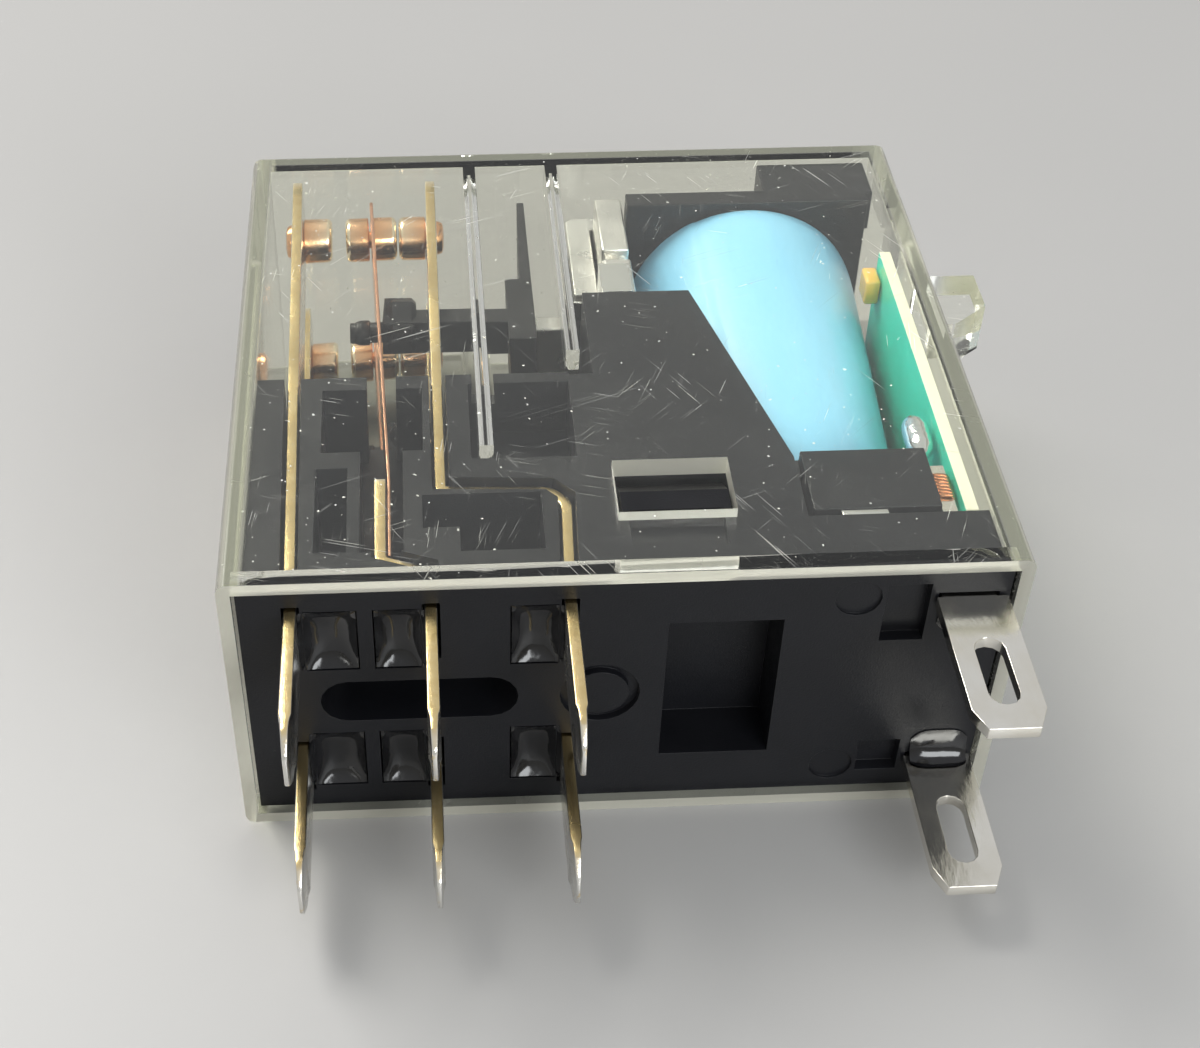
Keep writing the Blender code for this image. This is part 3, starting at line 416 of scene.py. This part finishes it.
def resin_pool(kind, level):
    """A pool in a well: it dips as a flattened bowl and climbs the blade as a falling exponential."""
    low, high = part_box(f"resin_{kind}_{level}")
    start = low[0] - (GAP_TO_BLADE if kind == "no" else 0)
    end = high[0] + (0 if kind == "no" else GAP_TO_BLADE)
    u = np.linspace(0, 1, 25)[:, None]
    v = np.linspace(-1, 1, 25)[None, :]
    x = start + (end - start) * u + 0 * v
    z = (low[2] + high[2]) / 2 + (high[2] - low[2]) / 2 * v + 0 * u
    away = u if kind == "no" else 1 - u
    bowl = (1 - np.abs(2 * u - 1) ** 3) * (1 - np.abs(v) ** 3)
    climb = np.exp(-away * (end - start) / RESIN_CLIMB_REACH) * (1 - 0.85 * v ** 2)
    y = FACE_Y + BELOW_FACE + RESIN_DEPTH * bowl - RESIN_CLIMB * climb
    front = np.stack([x, y, z], -1)
    back = front.copy()
    back[..., 1] = FACE_Y + WELL_DEPTH
    return two_sheets(f"resin_pool_{kind}_{level}", front, back)


def resin_fillet(level):
    """A hollow quarter-round of resin along the root of a coil pin, thinning to its two ends."""
    low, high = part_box(f"resin_coil_{level}")
    up = 1 if level == "upper" else -1
    foot = high[2] if level == "upper" else low[2]
    turn = np.linspace(0, math.pi / 2, 13)[:, None]
    along = np.linspace(-1, 1, 21)[None, :]
    size = 1 - 0.35 * along ** 4
    slant = 0.02 * np.linspace(0, 1, 13)[:, None]
    reach_y = (high[1] - low[1]) * size
    reach_z = (high[2] - low[2]) * size
    x = (low[0] + high[0]) / 2 + (high[0] - low[0]) / 2 * along + 0 * turn
    y = high[1] - reach_y * (1 - np.sin(turn))
    z = foot - up * reach_z * (1 - np.cos(turn))
    front = np.stack([x, y, z], -1)
    back = np.stack([x, 0 * x + high[1], foot - up * reach_z * slant], -1)
    return two_sheets(f"resin_fillet_{level}", front, back)


for level in ("upper", "lower"):
    for kind in ("no", "com", "nc"):
        settle(resin_pool(kind, level), resin, "housing", f"resin_{kind}_{level}", slot="sealing_resin")
    settle(resin_fillet(level), resin, "housing", f"resin_coil_{level}", slot="sealing_resin")


# ---- Contact blades and pins -------------------------------------------------
# Silvered brass strip, 0.45 mm thick, blanked and bent. The blanked edges show
# the yellow brass, the flats are silver, and the plug tips are coined thinner.

BLADE = 0.45 * MM
TIP = 1.3 * MM


def shell(name, grid, ring=False, smooth=40.0):
    """A mesh from a stack of loops of points, each loop joined round and to the next one.

    A ring joins its last loop to its first; otherwise the first and last loops are closed by a face.
    """
    rows, columns = grid.shape[:2]
    index = np.arange(rows * columns).reshape(rows, columns)
    after = np.roll(index, -1, axis=0) if ring else index[1:]
    before = index if ring else index[:-1]
    quads = np.stack([before, np.roll(before, -1, 1), np.roll(after, -1, 1), after], -1)
    faces = quads.reshape(-1, 4).tolist()
    if not ring:
        faces += [index[0][::-1].tolist(), index[-1].tolist()]
    data = bpy.data.meshes.new(name)
    data.from_pydata(grid.reshape(-1, 3).tolist(), [], faces)
    outward(data)
    data.shade_smooth()
    data.set_sharp_from_angle(angle=math.radians(smooth))
    item = bpy.data.objects.new(name, data)
    bpy.context.scene.collection.objects.link(item)
    return item


def rounded_section():
    """Angles and corner signs of a rounded rectangle, walked once round its four corners."""
    steps = 4
    corner = np.repeat(np.arange(4), steps)
    angle = corner * math.pi / 2 + np.tile(np.linspace(0, math.pi / 2, steps), 4)
    sign_a = np.array([1, -1, -1, 1])[corner]
    sign_b = np.array([1, 1, -1, -1])[corner]
    return angle, sign_a, sign_b


def walk(path, extra=()):
    """Stations along a path of straight runs, with each bend rounded by a short arc of stations.

    Returns the length, the place and the sideways direction at each station.
    """
    path = np.array(path, dtype=float)
    runs = np.linalg.norm(np.diff(path, axis=0), axis=1)
    marks = np.concatenate([[0], np.cumsum(runs)])
    bend = 0.28 * MM
    stations = [np.linspace(0, marks[-1], 60), np.array(extra, dtype=float)]
    stations += [mark + np.linspace(-bend, bend, 9) for mark in marks[1:-1]]
    s = np.unique(np.clip(np.concatenate(stations), 0, marks[-1]).round(8))
    window = np.linspace(-bend, bend, 11)[:, None]
    sample = np.clip(s[None, :] + window, -bend, marks[-1] + bend)
    ends = np.array([2 * path[0] - path[1], 2 * path[-1] - path[-2]])
    long_path = np.concatenate([ends[:1], path, ends[1:]])
    long_marks = np.concatenate([[-runs[0]], marks, [marks[-1] + runs[-1]]])
    place = np.stack([np.interp(sample, long_marks, long_path[:, k]).mean(0) for k in (0, 1)], -1)
    way = np.gradient(place, s, axis=0)
    way /= np.linalg.norm(way, axis=1)[:, None]
    return s, place, np.stack([-way[:, 1], way[:, 0]], -1)


def strip(name, path, low, high, thickness, radius=0.06 * MM, extra=()):
    """A bent strip: a rounded rectangle carried along a path.

    low, high and thickness are functions of the length, in metres; the attribute
    'blanked' is 1 on the narrow edges and 0 on the flats.
    """
    s, place, side = walk(path, extra)
    angle, sign_a, sign_b = rounded_section()
    half_t = thickness(s)[:, None] / 2
    bottom, top = low(s)[:, None], high(s)[:, None]
    round_off = np.minimum(radius, half_t * 0.9)
    across = sign_a * (half_t - round_off) + round_off * np.cos(angle)
    half_z = (top - bottom) / 2
    z = (top + bottom) / 2 + sign_b * (half_z - round_off) + round_off * np.sin(angle)
    grid = np.stack([place[:, None, 0] + side[:, None, 0] * across,
                     place[:, None, 1] + side[:, None, 1] * across, z], -1)
    item = shell(name, grid, smooth=50.0)
    normals = np.zeros(len(item.data.vertices) * 3)
    item.data.vertices.foreach_get("normal", normals)
    edge = item.data.attributes.new("blanked", "FLOAT", "POINT")
    edge.data.foreach_set("value", np.abs(normals.reshape(-1, 3)[:, 2]).clip(0, 1) ** 2)
    return item


plate = Finish("terminal_brass", (0.86, 0.84, 0.78), 0.24, 1.0)
worn = plate.ramp(plate.noise((4.5, 1.6, 4.5), 4.0), 0.59, 0.69)
yellow = plate.math("MAXIMUM", plate.ramp(plate.attribute("blanked"), 0.3, 0.9),
                    plate.math("MULTIPLY", worn, 0.7))
stains = plate.noise((0.6, 0.25, 0.6), 3.0)
silver = plate.blend(stains, (0.90, 0.88, 0.83), (0.66, 0.65, 0.62))
brass = plate.blend(plate.noise((3, 3, 3), 3.0), (0.88, 0.72, 0.40), (0.72, 0.52, 0.22))
plate.wire(plate.blend(yellow, silver, brass), "Base Color")
plate.wire(plate.ramp(stains, 0.3, 0.8, 0.16, 0.36), "Roughness")
plate.bump(plate.noise((22, 3, 22), 2.0), 0.006)


COINED_S = [0, 0.12 * MM, TIP, TIP + 0.25 * MM]


def coined(s):
    """Strip thickness: a two-step taper over the plug tip, then the full thickness."""
    return np.interp(s, COINED_S, [0.3 * BLADE, 0.42 * BLADE, 0.72 * BLADE, BLADE])


JOG = 7.55 * MM
SHOULDER = 7.35 * MM
COM_BEND = 0.7 * MM
NC_OFFSET = 4.5 * MM
NC_BENDS = (11.1 * MM, 11.75 * MM, 11.95 * MM)
PIN_HALF_WIDTH = 1.3 * MM
NOTCH = 2.6 * MM
NOTCH_Y = (0.78 * MM, 2.82 * MM)
STEP = 0.02 * MM


def blade_path(kind, level):
    """The bends of a blade, counted from its node's box: pin, offset in the base, then the free blade."""
    low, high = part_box(f"terminal_{kind}_{level}")
    half = BLADE / 2
    jog = low[1] + JOG
    if kind == "no":
        return [(high[0] - half, low[1]), (high[0] - half, jog), (low[0] + half, high[1])]
    if kind == "com":
        pin_x = high[0] - half
        return [(pin_x, low[1]), (pin_x, jog), (low[0] + half, jog + COM_BEND), (low[0] + half, high[1])]
    blade_x = low[0] + half
    pin_x = blade_x + NC_OFFSET
    first, second, third = (low[1] + bend for bend in NC_BENDS)
    return [(pin_x, low[1]), (pin_x, jog), (pin_x + 0.15 * MM, first), (pin_x - 0.45 * MM, second),
            (blade_x, third), (blade_x, high[1])]


def add_blade(kind, level):
    """One terminal: a narrow pin with a pointed tip, wider inside, notched where the card passes."""
    low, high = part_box(f"terminal_{kind}_{level}")
    middle = (low[2] + high[2]) / 2
    wide = (high[2] - low[2]) / 2
    path = blade_path(kind, level)
    length = sum(math.dist(a, b) for a, b in zip(path, path[1:]))
    tip_s = [0, 0.15 * MM, 0.7 * MM, 1.0 * MM, SHOULDER, SHOULDER + STEP]
    tip_h = [PIN_HALF_WIDTH - a * MM for a in (0.75, 0.5, 0.06, 0, 0)] + [wide]
    card_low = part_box("card")[0][1] + length - high[1]
    notch_s = [card_low + a for a in (NOTCH_Y[0], NOTCH_Y[0] + STEP, NOTCH_Y[1] - STEP, NOTCH_Y[1])]

    def half_height(s):
        """Half the strip's width along its length."""
        return np.interp(s, tip_s + [length], tip_h + [wide])

    def notch(s):
        """How far the notch for the card's arm reaches in from the inner edge."""
        return np.interp(s, notch_s, [0, NOTCH, NOTCH, 0]) if kind == "nc" else 0 * s

    def bottom(s):
        """The lower edge, where the upper pole's blade is notched."""
        return middle - half_height(s) + (notch(s) if level == "upper" else 0)

    def top(s):
        """The upper edge, where the lower pole's blade is notched."""
        return middle + half_height(s) - (notch(s) if level == "lower" else 0)

    item = strip(f"blade_{kind}_{level}", path, bottom, top, coined, extra=tip_s + notch_s + COINED_S)
    settle(item, plate, "housing", f"terminal_{kind}_{level}", slot="terminal_brass")


for level in ("upper", "lower"):
    for kind in ("no", "com", "nc"):
        add_blade(kind, level)


# ---- Contact rivets -----------------------------------------------------------
# Composite rivets: a silver alloy face on a copper body, peened through the
# blade or the spring. The moving ones have a head on both sides.

def turned(name, profile, centre, axis, segments=48, smooth=40.0):
    """A solid of revolution: (distance along the axis, radius) pairs turned about the axis."""
    axis = np.array(axis, dtype=float)
    axis /= np.linalg.norm(axis)
    side = np.cross(axis, (0, 0, 1.0) if abs(axis[2]) < 0.9 else (1.0, 0, 0))
    side /= np.linalg.norm(side)
    other = np.cross(axis, side)
    along = np.array([p[0] for p in profile])[:, None, None]
    radius = np.array([p[1] for p in profile])[:, None, None]
    angle = np.linspace(0, 2 * math.pi, segments, endpoint=False)[None, :, None]
    grid = np.array(centre) + along * axis + radius * (np.cos(angle) * side + np.sin(angle) * other)
    return shell(name, grid, smooth=smooth)


CROWN = 0.22 * MM
BREAK = 0.05 * MM


def dome(flat, rim, radius):
    """The profile of a rivet head from its flat back to its crowned face, with a quarter-round rim."""
    turn = np.linspace(0, math.pi / 2, 8)
    round_rim = [(rim - CROWN + CROWN * math.sin(a), radius - CROWN * (1 - math.cos(a))) for a in turn]
    return [(flat, radius - BREAK), (flat + BREAK, radius)] + round_rim


LEAF = 0.15 * MM
rivet = Finish("contact_silver", (0.9, 0.66, 0.48), 0.2, 1.0)
tone = rivet.noise((1.2, 1.2, 1.2), 3.0)
copper_tone = rivet.blend(tone, (1.0, 0.60, 0.32), (0.74, 0.34, 0.14))
rivet.wire(rivet.blend(rivet.attribute("faced"), copper_tone, (0.98, 0.84, 0.62)), "Base Color")
rivet.wire(rivet.ramp(tone, 0.3, 0.7, 0.12, 0.28), "Roughness")
rivet.bump(rivet.noise((8, 8, 8), 2.0), 0.004)


SILVER_EDGE = 0.06 * MM


def faced(item, centre, axis, start):
    """Marks how far each point is into the silver face, counted both ways along the axis."""
    points = np.zeros(len(item.data.vertices) * 3)
    item.data.vertices.foreach_get("co", points)
    along = np.abs((points.reshape(-1, 3) - centre) @ (np.array(axis) / np.linalg.norm(axis)))
    value = ((along - start) / SILVER_EDGE).clip(0, 1)
    item.data.attributes.new("faced", "FLOAT", "POINT").data.foreach_set("value", value)


SHANK = 0.5 * MM
TAIL = 0.32 * MM
PEENED = [(0, 0.5 * MM), (0.06 * MM, 0.68 * MM), (0.2 * MM, 0.76 * MM), (TAIL, 0.78 * MM)]


def add_fixed_contact(kind, level):
    """Head towards the moving contact, shank through the blade and a peened tail behind it."""
    low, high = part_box(f"contact_{kind}_{level}")
    centre = (np.array(low) + np.array(high)) / 2
    head_right = kind == "no"
    axis = (1 if head_right else -1, 0, 0)
    origin = np.array([low[0] if head_right else high[0], centre[1], centre[2]])
    length = high[0] - low[0]
    radius = (high[2] - low[2]) / 2
    through = TAIL + 0.5 * MM
    profile = PEENED + [(TAIL, SHANK), (through, SHANK)] + dome(through, length, radius)
    item = turned(f"rivet_{kind}_{level}", profile, origin, axis)
    faced(item, origin, axis, length - 0.26 * MM)
    settle(item, rivet, "housing", f"contact_{kind}_{level}", slot="contact_silver")


def add_moving_rivet(level):
    """Two crowned heads back to back on one shank, square to the leaning spring."""
    low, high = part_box(f"moving_contact_{level}")
    centre = (np.array(low) + np.array(high)) / 2
    half = (high[0] - low[0]) / 2 - 0.04 * MM
    radius = (high[2] - low[2]) / 2
    beside_leaf = 0.1 * MM
    neck = 0.4 * MM
    leaning_length = 19.6 * MM
    right = dome(beside_leaf, half, radius)
    left = [(-a, r) for a, r in reversed(right)]
    profile = left + [(-beside_leaf, neck), (beside_leaf, neck)] + right
    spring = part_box(f"moving_spring_{level}")
    lean = math.atan2(spring[1][0] - spring[0][0] - LEAF, leaning_length)
    axis = (math.cos(lean), math.sin(lean), 0)
    item = turned(f"moving_rivet_{level}", profile, centre, axis)
    faced(item, centre, axis, half - 0.24 * MM)
    settle(item, rivet, f"spring_{level}", f"moving_contact_{level}", slot="contact_silver")


for level in ("upper", "lower"):
    for kind in ("no", "nc"):
        add_fixed_contact(kind, level)
    add_moving_rivet(level)


# ---- Moving springs -----------------------------------------------------------
# Phosphor bronze strip, 0.15 mm thick, fixed to the common terminal at its root,
# with rounded corners at the free end.

bronze = Finish("spring_bronze", (0.80, 0.46, 0.30), 0.22, 1.0)
bronze_tone = bronze.noise((2, 0.5, 2), 3.0)
bronze.wire(bronze.blend(bronze_tone, (0.86, 0.52, 0.36), (0.62, 0.30, 0.18)), "Base Color")
bronze.bump(bronze.noise((25, 1.5, 25), 2.0), 0.004)
STRAIGHT = 4.2 * MM
CORNER = 0.6 * MM


def add_spring(level):
    """A leaf that stands straight along the common terminal, then leans to the moving contact."""
    low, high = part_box(f"moving_spring_{level}")
    middle = (low[2] + high[2]) / 2
    half = (high[2] - low[2]) / 2
    root_x = high[0] - LEAF / 2
    tip_x = low[0] + LEAF / 2
    near_tip = (tip_x + 0.045 * MM, high[1] - 1.3 * MM)
    path = [(root_x, low[1]), (root_x, low[1] + STRAIGHT), near_tip, (tip_x, high[1])]
    length = sum(math.dist(a, b) for a, b in zip(path, path[1:]))

    def shape(s):
        """Half width: full, then rounded off as a quarter circle at the free end."""
        into_corner = np.clip((s - (length - CORNER)) / CORNER, 0, 1)
        return half - CORNER * (1 - np.sqrt(1 - into_corner ** 2 * 0.999))

    marks = length - CORNER * (1 - np.sin(np.linspace(0, math.pi / 2, 9)))
    item = strip(f"spring_leaf_{level}", path, lambda s: middle - shape(s), lambda s: middle + shape(s),
                 lambda s: 0 * s + LEAF, radius=0.05 * MM, extra=marks)
    settle(item, bronze, f"spring_{level}", f"moving_spring_{level}", slot="spring_bronze")


for level in ("upper", "lower"):
    add_spring(level)


# ---- Coil pins ------------------------------------------------------------------
# Flat tabs of tinned brass with a soldering slot, passed through the base and
# sealed at their roots. The blanking leaves a bevel all round.

tinned = Finish("coil_pin", (0.88, 0.87, 0.83), 0.14, 1.0)
film = tinned.noise((0.7, 0.5, 0.7), 4.0)
tinned.wire(tinned.blend(film, (0.96, 0.95, 0.91), (0.74, 0.69, 0.58)), "Base Color")
tinned.wire(tinned.ramp(film, 0.3, 0.75, 0.08, 0.3), "Roughness")
tinned.bump(tinned.noise((6, 2, 6), 3.0), 0.008)
for level in ("upper", "lower"):
    pin = f"coil_terminal_{level}"
    settle(eased(pin, 0.09, 3), tinned, "housing", pin, slot="coil_pin")


# ---- Card -------------------------------------------------------------------------
# A black moulding hung on pegs in both springs, pushed by the armature's toe. Each
# arm has a six-sided stop behind the spring and a rounded head on its peg.

card_black = black_plastic("card_plastic", (0.0045, 0.0045, 0.005), 0.42)
settle(eased("card", 0.09, 3), card_black, "card", "card", slot="card_plastic")
PEG_RADIUS = 0.54 * MM
STOP_RADIUS = 1.32 * MM


def peg_end(level):
    """The middle of the end of a peg, counted from the card's box."""
    low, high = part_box("card")
    below_top = 0.85 * MM
    height = high[2] - below_top if level == "upper" else low[2] + below_top
    return Vector((low[0], low[1] + 1.7 * MM, height))


def card_stop(level):
    """A hexagon with a ridge on top, carried along x, smaller at both ends, just behind the spring."""
    profile = [(0, 1.0 * MM), (0.26 * MM, STOP_RADIUS), (1.05 * MM, STOP_RADIUS), (1.25 * MM, 1.1 * MM)]
    start = peg_end(level) + Vector((1.56 * MM, 0.42 * MM, 0))
    item = turned(f"card_stop_{level}", profile, start, (1, 0, 0), segments=6, smooth=20.0)
    place = Matrix.Translation(start)
    item.data.transform(place @ Matrix.Rotation(math.radians(30), 4, "X") @ place.inverted())
    return item


def card_peg_head(level):
    """A half-round cap turned about x over the end of the peg, a little fatter than the peg."""
    swing = np.linspace(0.1, math.pi / 2, 9)
    profile = [(0.5 * MM * (1 - math.cos(a)), PEG_RADIUS * math.sin(a)) for a in swing]
    profile += [(0.8 * MM, PEG_RADIUS), (0.86 * MM, 0.47 * MM)]
    return turned(f"card_peg_head_{level}", profile, peg_end(level), (1, 0, 0), smooth=50.0)


for level in ("upper", "lower"):
    settle(card_stop(level), card_black, "card", slot="card_plastic")
    settle(card_peg_head(level), card_black, "card", slot="card_plastic")


# ---- Bobbin -----------------------------------------------------------------------
# A black moulding on the core, a tube with a flange at each end. Its front blocks
# seat on the base, and its ears stand beside the armature.

bobbin_black = black_plastic("bobbin_plastic", (0.0045, 0.0048, 0.006), 0.4)
settle(eased("bobbin", 0.06), bobbin_black, "housing", "bobbin", slot="bobbin_plastic")


# ---- Coil winding and its tape -----------------------------------------------------
# Enamelled copper wire in even layers, wrapped in light blue film tape. The coil
# swells towards the armature, and the tape's end is a faint step along it.

winding = Finish("copper_wire", (0.74, 0.34, 0.16), 0.3, 1.0)
turns = winding.nodes.new("ShaderNodeTexWave")
turns.bands_direction = "Y"
turns.inputs["Scale"].default_value = 1.0
winding.links.new(winding.stretched((0.5, 1.6, 0.5)), turns.inputs["Vector"])
winding.bump(turns.outputs["Fac"], 0.03)
settle(eased("coil_winding", 0, smooth=50), winding, "housing", "coil_winding", slot="copper_wire")

tape = Finish("coil_tape", (0.17, 0.50, 0.76), 0.3, Coat_Weight=0.25, Coat_Roughness=0.15,
              Specular_IOR_Level=0.4)
haze = tape.noise((0.25, 0.12, 0.25), 3.0)
tape.wire(tape.blend(haze, (0.20, 0.50, 0.74), (0.29, 0.60, 0.81)), "Base Color")
tape.bump(tape.noise((0.8, 0.3, 0.8), 3.0), 0.05)


def add_tape():
    """An open tube whose radius grows evenly along y, with a step where the tape ends and soft creases."""
    low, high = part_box("coil_tape")
    centre_x = (low[0] + high[0]) / 2
    centre_z = (low[2] + high[2]) / 2
    clearance = 0.02 * MM
    back_radius = (high[0] - low[0]) / 2 - clearance
    growth = 0.9 * MM
    film_thickness = 0.12 * MM
    around = np.linspace(0, 2 * math.pi, 160, endpoint=False)[None, :]
    along = np.linspace(0, 1, 60)[:, None]
    seam = math.radians(118)
    step = 0.06 * MM * (np.mod(around - seam, 2 * math.pi) / (2 * math.pi))
    crease = 0.01 * MM * np.sin(9 * around + 5 * along) * np.sin(math.pi * along)
    tuck_length = 0.03
    tuck = 0.10 * MM * (np.exp(-along / tuck_length) + np.exp(-(1 - along) / tuck_length))
    outer = back_radius - growth * (1 - along) - step - crease - tuck
    loop = np.concatenate([outer, outer[::-1] - film_thickness], axis=0)
    y = low[1] + (high[1] - low[1]) * np.concatenate([along, along[::-1]], axis=0) + 0 * around
    grid = np.stack([centre_x + loop * np.cos(around), y, centre_z + loop * np.sin(around)], -1)
    return shell("tape_wrap", grid, ring=True, smooth=35.0)


settle(add_tape(), tape, "housing", "coil_tape", slot="coil_tape")


# ---- Yoke, core and armature --------------------------------------------------------
# Nickel-plated soft iron, a little stained: the bent yoke beside the coil, the core
# with its pole face, and the angled armature that rocks on the yoke's end.

iron = Finish("magnet_iron", (0.66, 0.66, 0.64), 0.3, 1.0)
stain = iron.noise((0.4, 0.4, 0.4), 4.0)
iron.wire(iron.blend(stain, (0.90, 0.89, 0.86), (0.64, 0.63, 0.60)), "Base Color")
iron.wire(iron.ramp(stain, 0.3, 0.7, 0.2, 0.42), "Roughness")
iron.bump(iron.noise((18, 2, 18), 2.0), 0.01)
settle(eased("yoke", 0.1, 3), iron, "housing", "yoke", slot="magnet_iron")
settle(eased("core", 0.05), iron, "housing", "core", slot="magnet_iron")
settle(eased("armature", 0.1, 3), iron, "armature", "armature", slot="magnet_iron")


# ---- Hinge spring and locking strip ---------------------------------------------------
# Thin bright strips of spring steel. One clips the armature to the yoke, and one
# is pushed in between the base and the bobbin to lock them.

strip_metal = Finish("spring_steel", (0.86, 0.86, 0.84), 0.16, 1.0)
strip_metal.bump(strip_metal.noise((20, 20, 1.5), 2.0), 0.006)
settle(eased("hinge_spring", 0.03), strip_metal, "housing", "hinge_spring", slot="spring_steel")
settle(eased("locking_strip", 0.05), strip_metal, "housing", "locking_strip", slot="spring_steel")


# ---- Circuit board ----------------------------------------------------------------------
# A cream glass laminate with green mask on the face towards the coil. It stands on
# the tails of the coil pins, which are soldered to it.

LAMINATE = (0.68, 0.67, 0.54)
board = Finish("board", LAMINATE, 0.45)
masked = board.ramp(board.math("MULTIPLY", board.split(board.normal)["X"], -1), 0.8, 0.9)
mask_tone = board.blend(board.noise((0.5, 0.5, 0.5), 3.0), (0.03, 0.50, 0.34), (0.06, 0.68, 0.49))
board.wire(board.blend(masked, LAMINATE, mask_tone), "Base Color")
board.wire(board.ramp(masked, 0, 1, 0.5, 0.22), "Roughness")
settle(eased("circuit_board", 0.04), board, "housing", "circuit_board", slot="board")


# ---- Lamp and chips ------------------------------------------------------------------------
# An amber lamp and two black moulded chips, a resistor and a diode, soldered flat
# on the green face of the board.

lamp = Finish("lamp_amber", (0.95, 0.45, 0.08), 0.15, Coat_Weight=0.5, Subsurface_Weight=0.3)
lamp.bump(lamp.noise((5, 5, 5), 2.0), 0.01)
settle(eased("led", 0.0), lamp, "housing", "led", slot="lamp_amber")
chip = black_plastic("chip_black", (0.02, 0.02, 0.021), 0.45)
settle(eased("resistor", 0.0), chip, "housing", "resistor", slot="chip_black")
settle(eased("diode", 0.0), chip, "housing", "diode", slot="chip_black")


# ---- Coil leads ------------------------------------------------------------------------------
# The two ends of the enamelled coil wire, each wound seven turns round the tail of
# a coil pin, with a slack run back to the winding.

LEAD_RADIUS = 0.085 * MM
TURNS = 7
TURN_PITCH = 0.19 * MM
TURN_RADIUS = 0.36 * MM


def wire_along(name, points):
    """A round wire: a circle carried along a list of points, square to the way at each."""
    points = np.array(points, dtype=float)
    way = np.gradient(points, axis=0)
    way /= np.linalg.norm(way, axis=1)[:, None]
    side = np.cross(way, (1.0, 0.05, 0.0))
    side /= np.linalg.norm(side, axis=1)[:, None]
    other = np.cross(way, side)
    angle = np.linspace(0, 2 * math.pi, 12, endpoint=False)[None, :, None]
    grid = points[:, None] + LEAD_RADIUS * (np.cos(angle) * side[:, None] + np.sin(angle) * other[:, None])
    return shell(name, grid, smooth=60.0)


def add_lead(level):
    """A rounded-square helix round the pin's tail, then a slack run to the winding."""
    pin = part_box(f"coil_terminal_{level}")
    low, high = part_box(f"coil_lead_{level}")
    centre_x = high[0] - 0.45 * MM
    centre_z = (pin[0][2] + pin[1][2]) / 2
    up = 1 if level == "upper" else -1
    turn = np.linspace(0, 2 * math.pi * TURNS, TURNS * 20)
    y = low[1] + 0.1 * MM + TURN_PITCH * turn / (2 * math.pi)
    square = (np.abs(np.cos(turn)) ** 4 + np.abs(np.sin(turn)) ** 4) ** -0.25
    x = centre_x + TURN_RADIUS * square * np.cos(turn)
    z = centre_z + up * TURN_RADIUS * square * np.sin(turn)
    helix = np.stack([x, y, z], -1)
    goal = np.array([low[0] + 0.1 * MM, high[1] - 0.1 * MM, centre_z - up * 1.0 * MM])
    part = np.linspace(0, 1, 14)[1:, None]
    bow = np.array([0, 0, up * 0.25 * MM]) * np.sin(math.pi * part)
    run = helix[-1] + (goal - helix[-1]) * part + bow
    return wire_along(f"lead_wire_{level}", np.concatenate([helix, run]))


enamel = Finish("lead_copper", (0.78, 0.36, 0.17), 0.22, 1.0, Coat_Weight=0.5)
enamel_tone = enamel.noise((3, 3, 3), 2.0)
enamel.wire(enamel.blend(enamel_tone, (0.85, 0.42, 0.22), (0.55, 0.20, 0.08)), "Base Color")
for level in ("upper", "lower"):
    settle(add_lead(level), enamel, "housing", f"coil_lead_{level}", slot="copper_wire")


# ---- Solder joints -----------------------------------------------------------------------------
# A bead of bright solder over the end of each coil pin's tail. It has wetted the
# board, which it holds, so it is longer than it is wide.

bright = Finish("solder", (0.84, 0.84, 0.85), 0.12, 1.0)
bright.bump(bright.noise((2.5, 2.5, 2.5), 3.0), 0.05)


def add_bead(level):
    """A long bead: an ellipse swung round y, a little waisted at its middle and its ends."""
    low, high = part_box(f"solder_joint_{level}")
    centre = (np.array(low) + np.array(high)) / 2
    half = (np.array(high) - np.array(low)) / 2 * 0.98
    swing = np.linspace(0.001, math.pi - 0.001, 25)[:, None]
    around = np.linspace(0, 2 * math.pi, 32, endpoint=False)[None, :]
    pinch = 1 - 0.12 * np.cos(2 * swing) ** 2
    x = centre[0] + half[0] * np.sin(swing) * np.cos(around) * pinch
    y = centre[1] - half[1] * np.cos(swing) + 0 * around
    z = centre[2] + half[2] * np.sin(swing) * np.sin(around) * pinch
    return shell(f"solder_bead_{level}", np.stack([x, y, z], -1), smooth=80.0)


for level in ("upper", "lower"):
    settle(add_bead(level), bright, "housing", f"solder_joint_{level}", slot="solder")
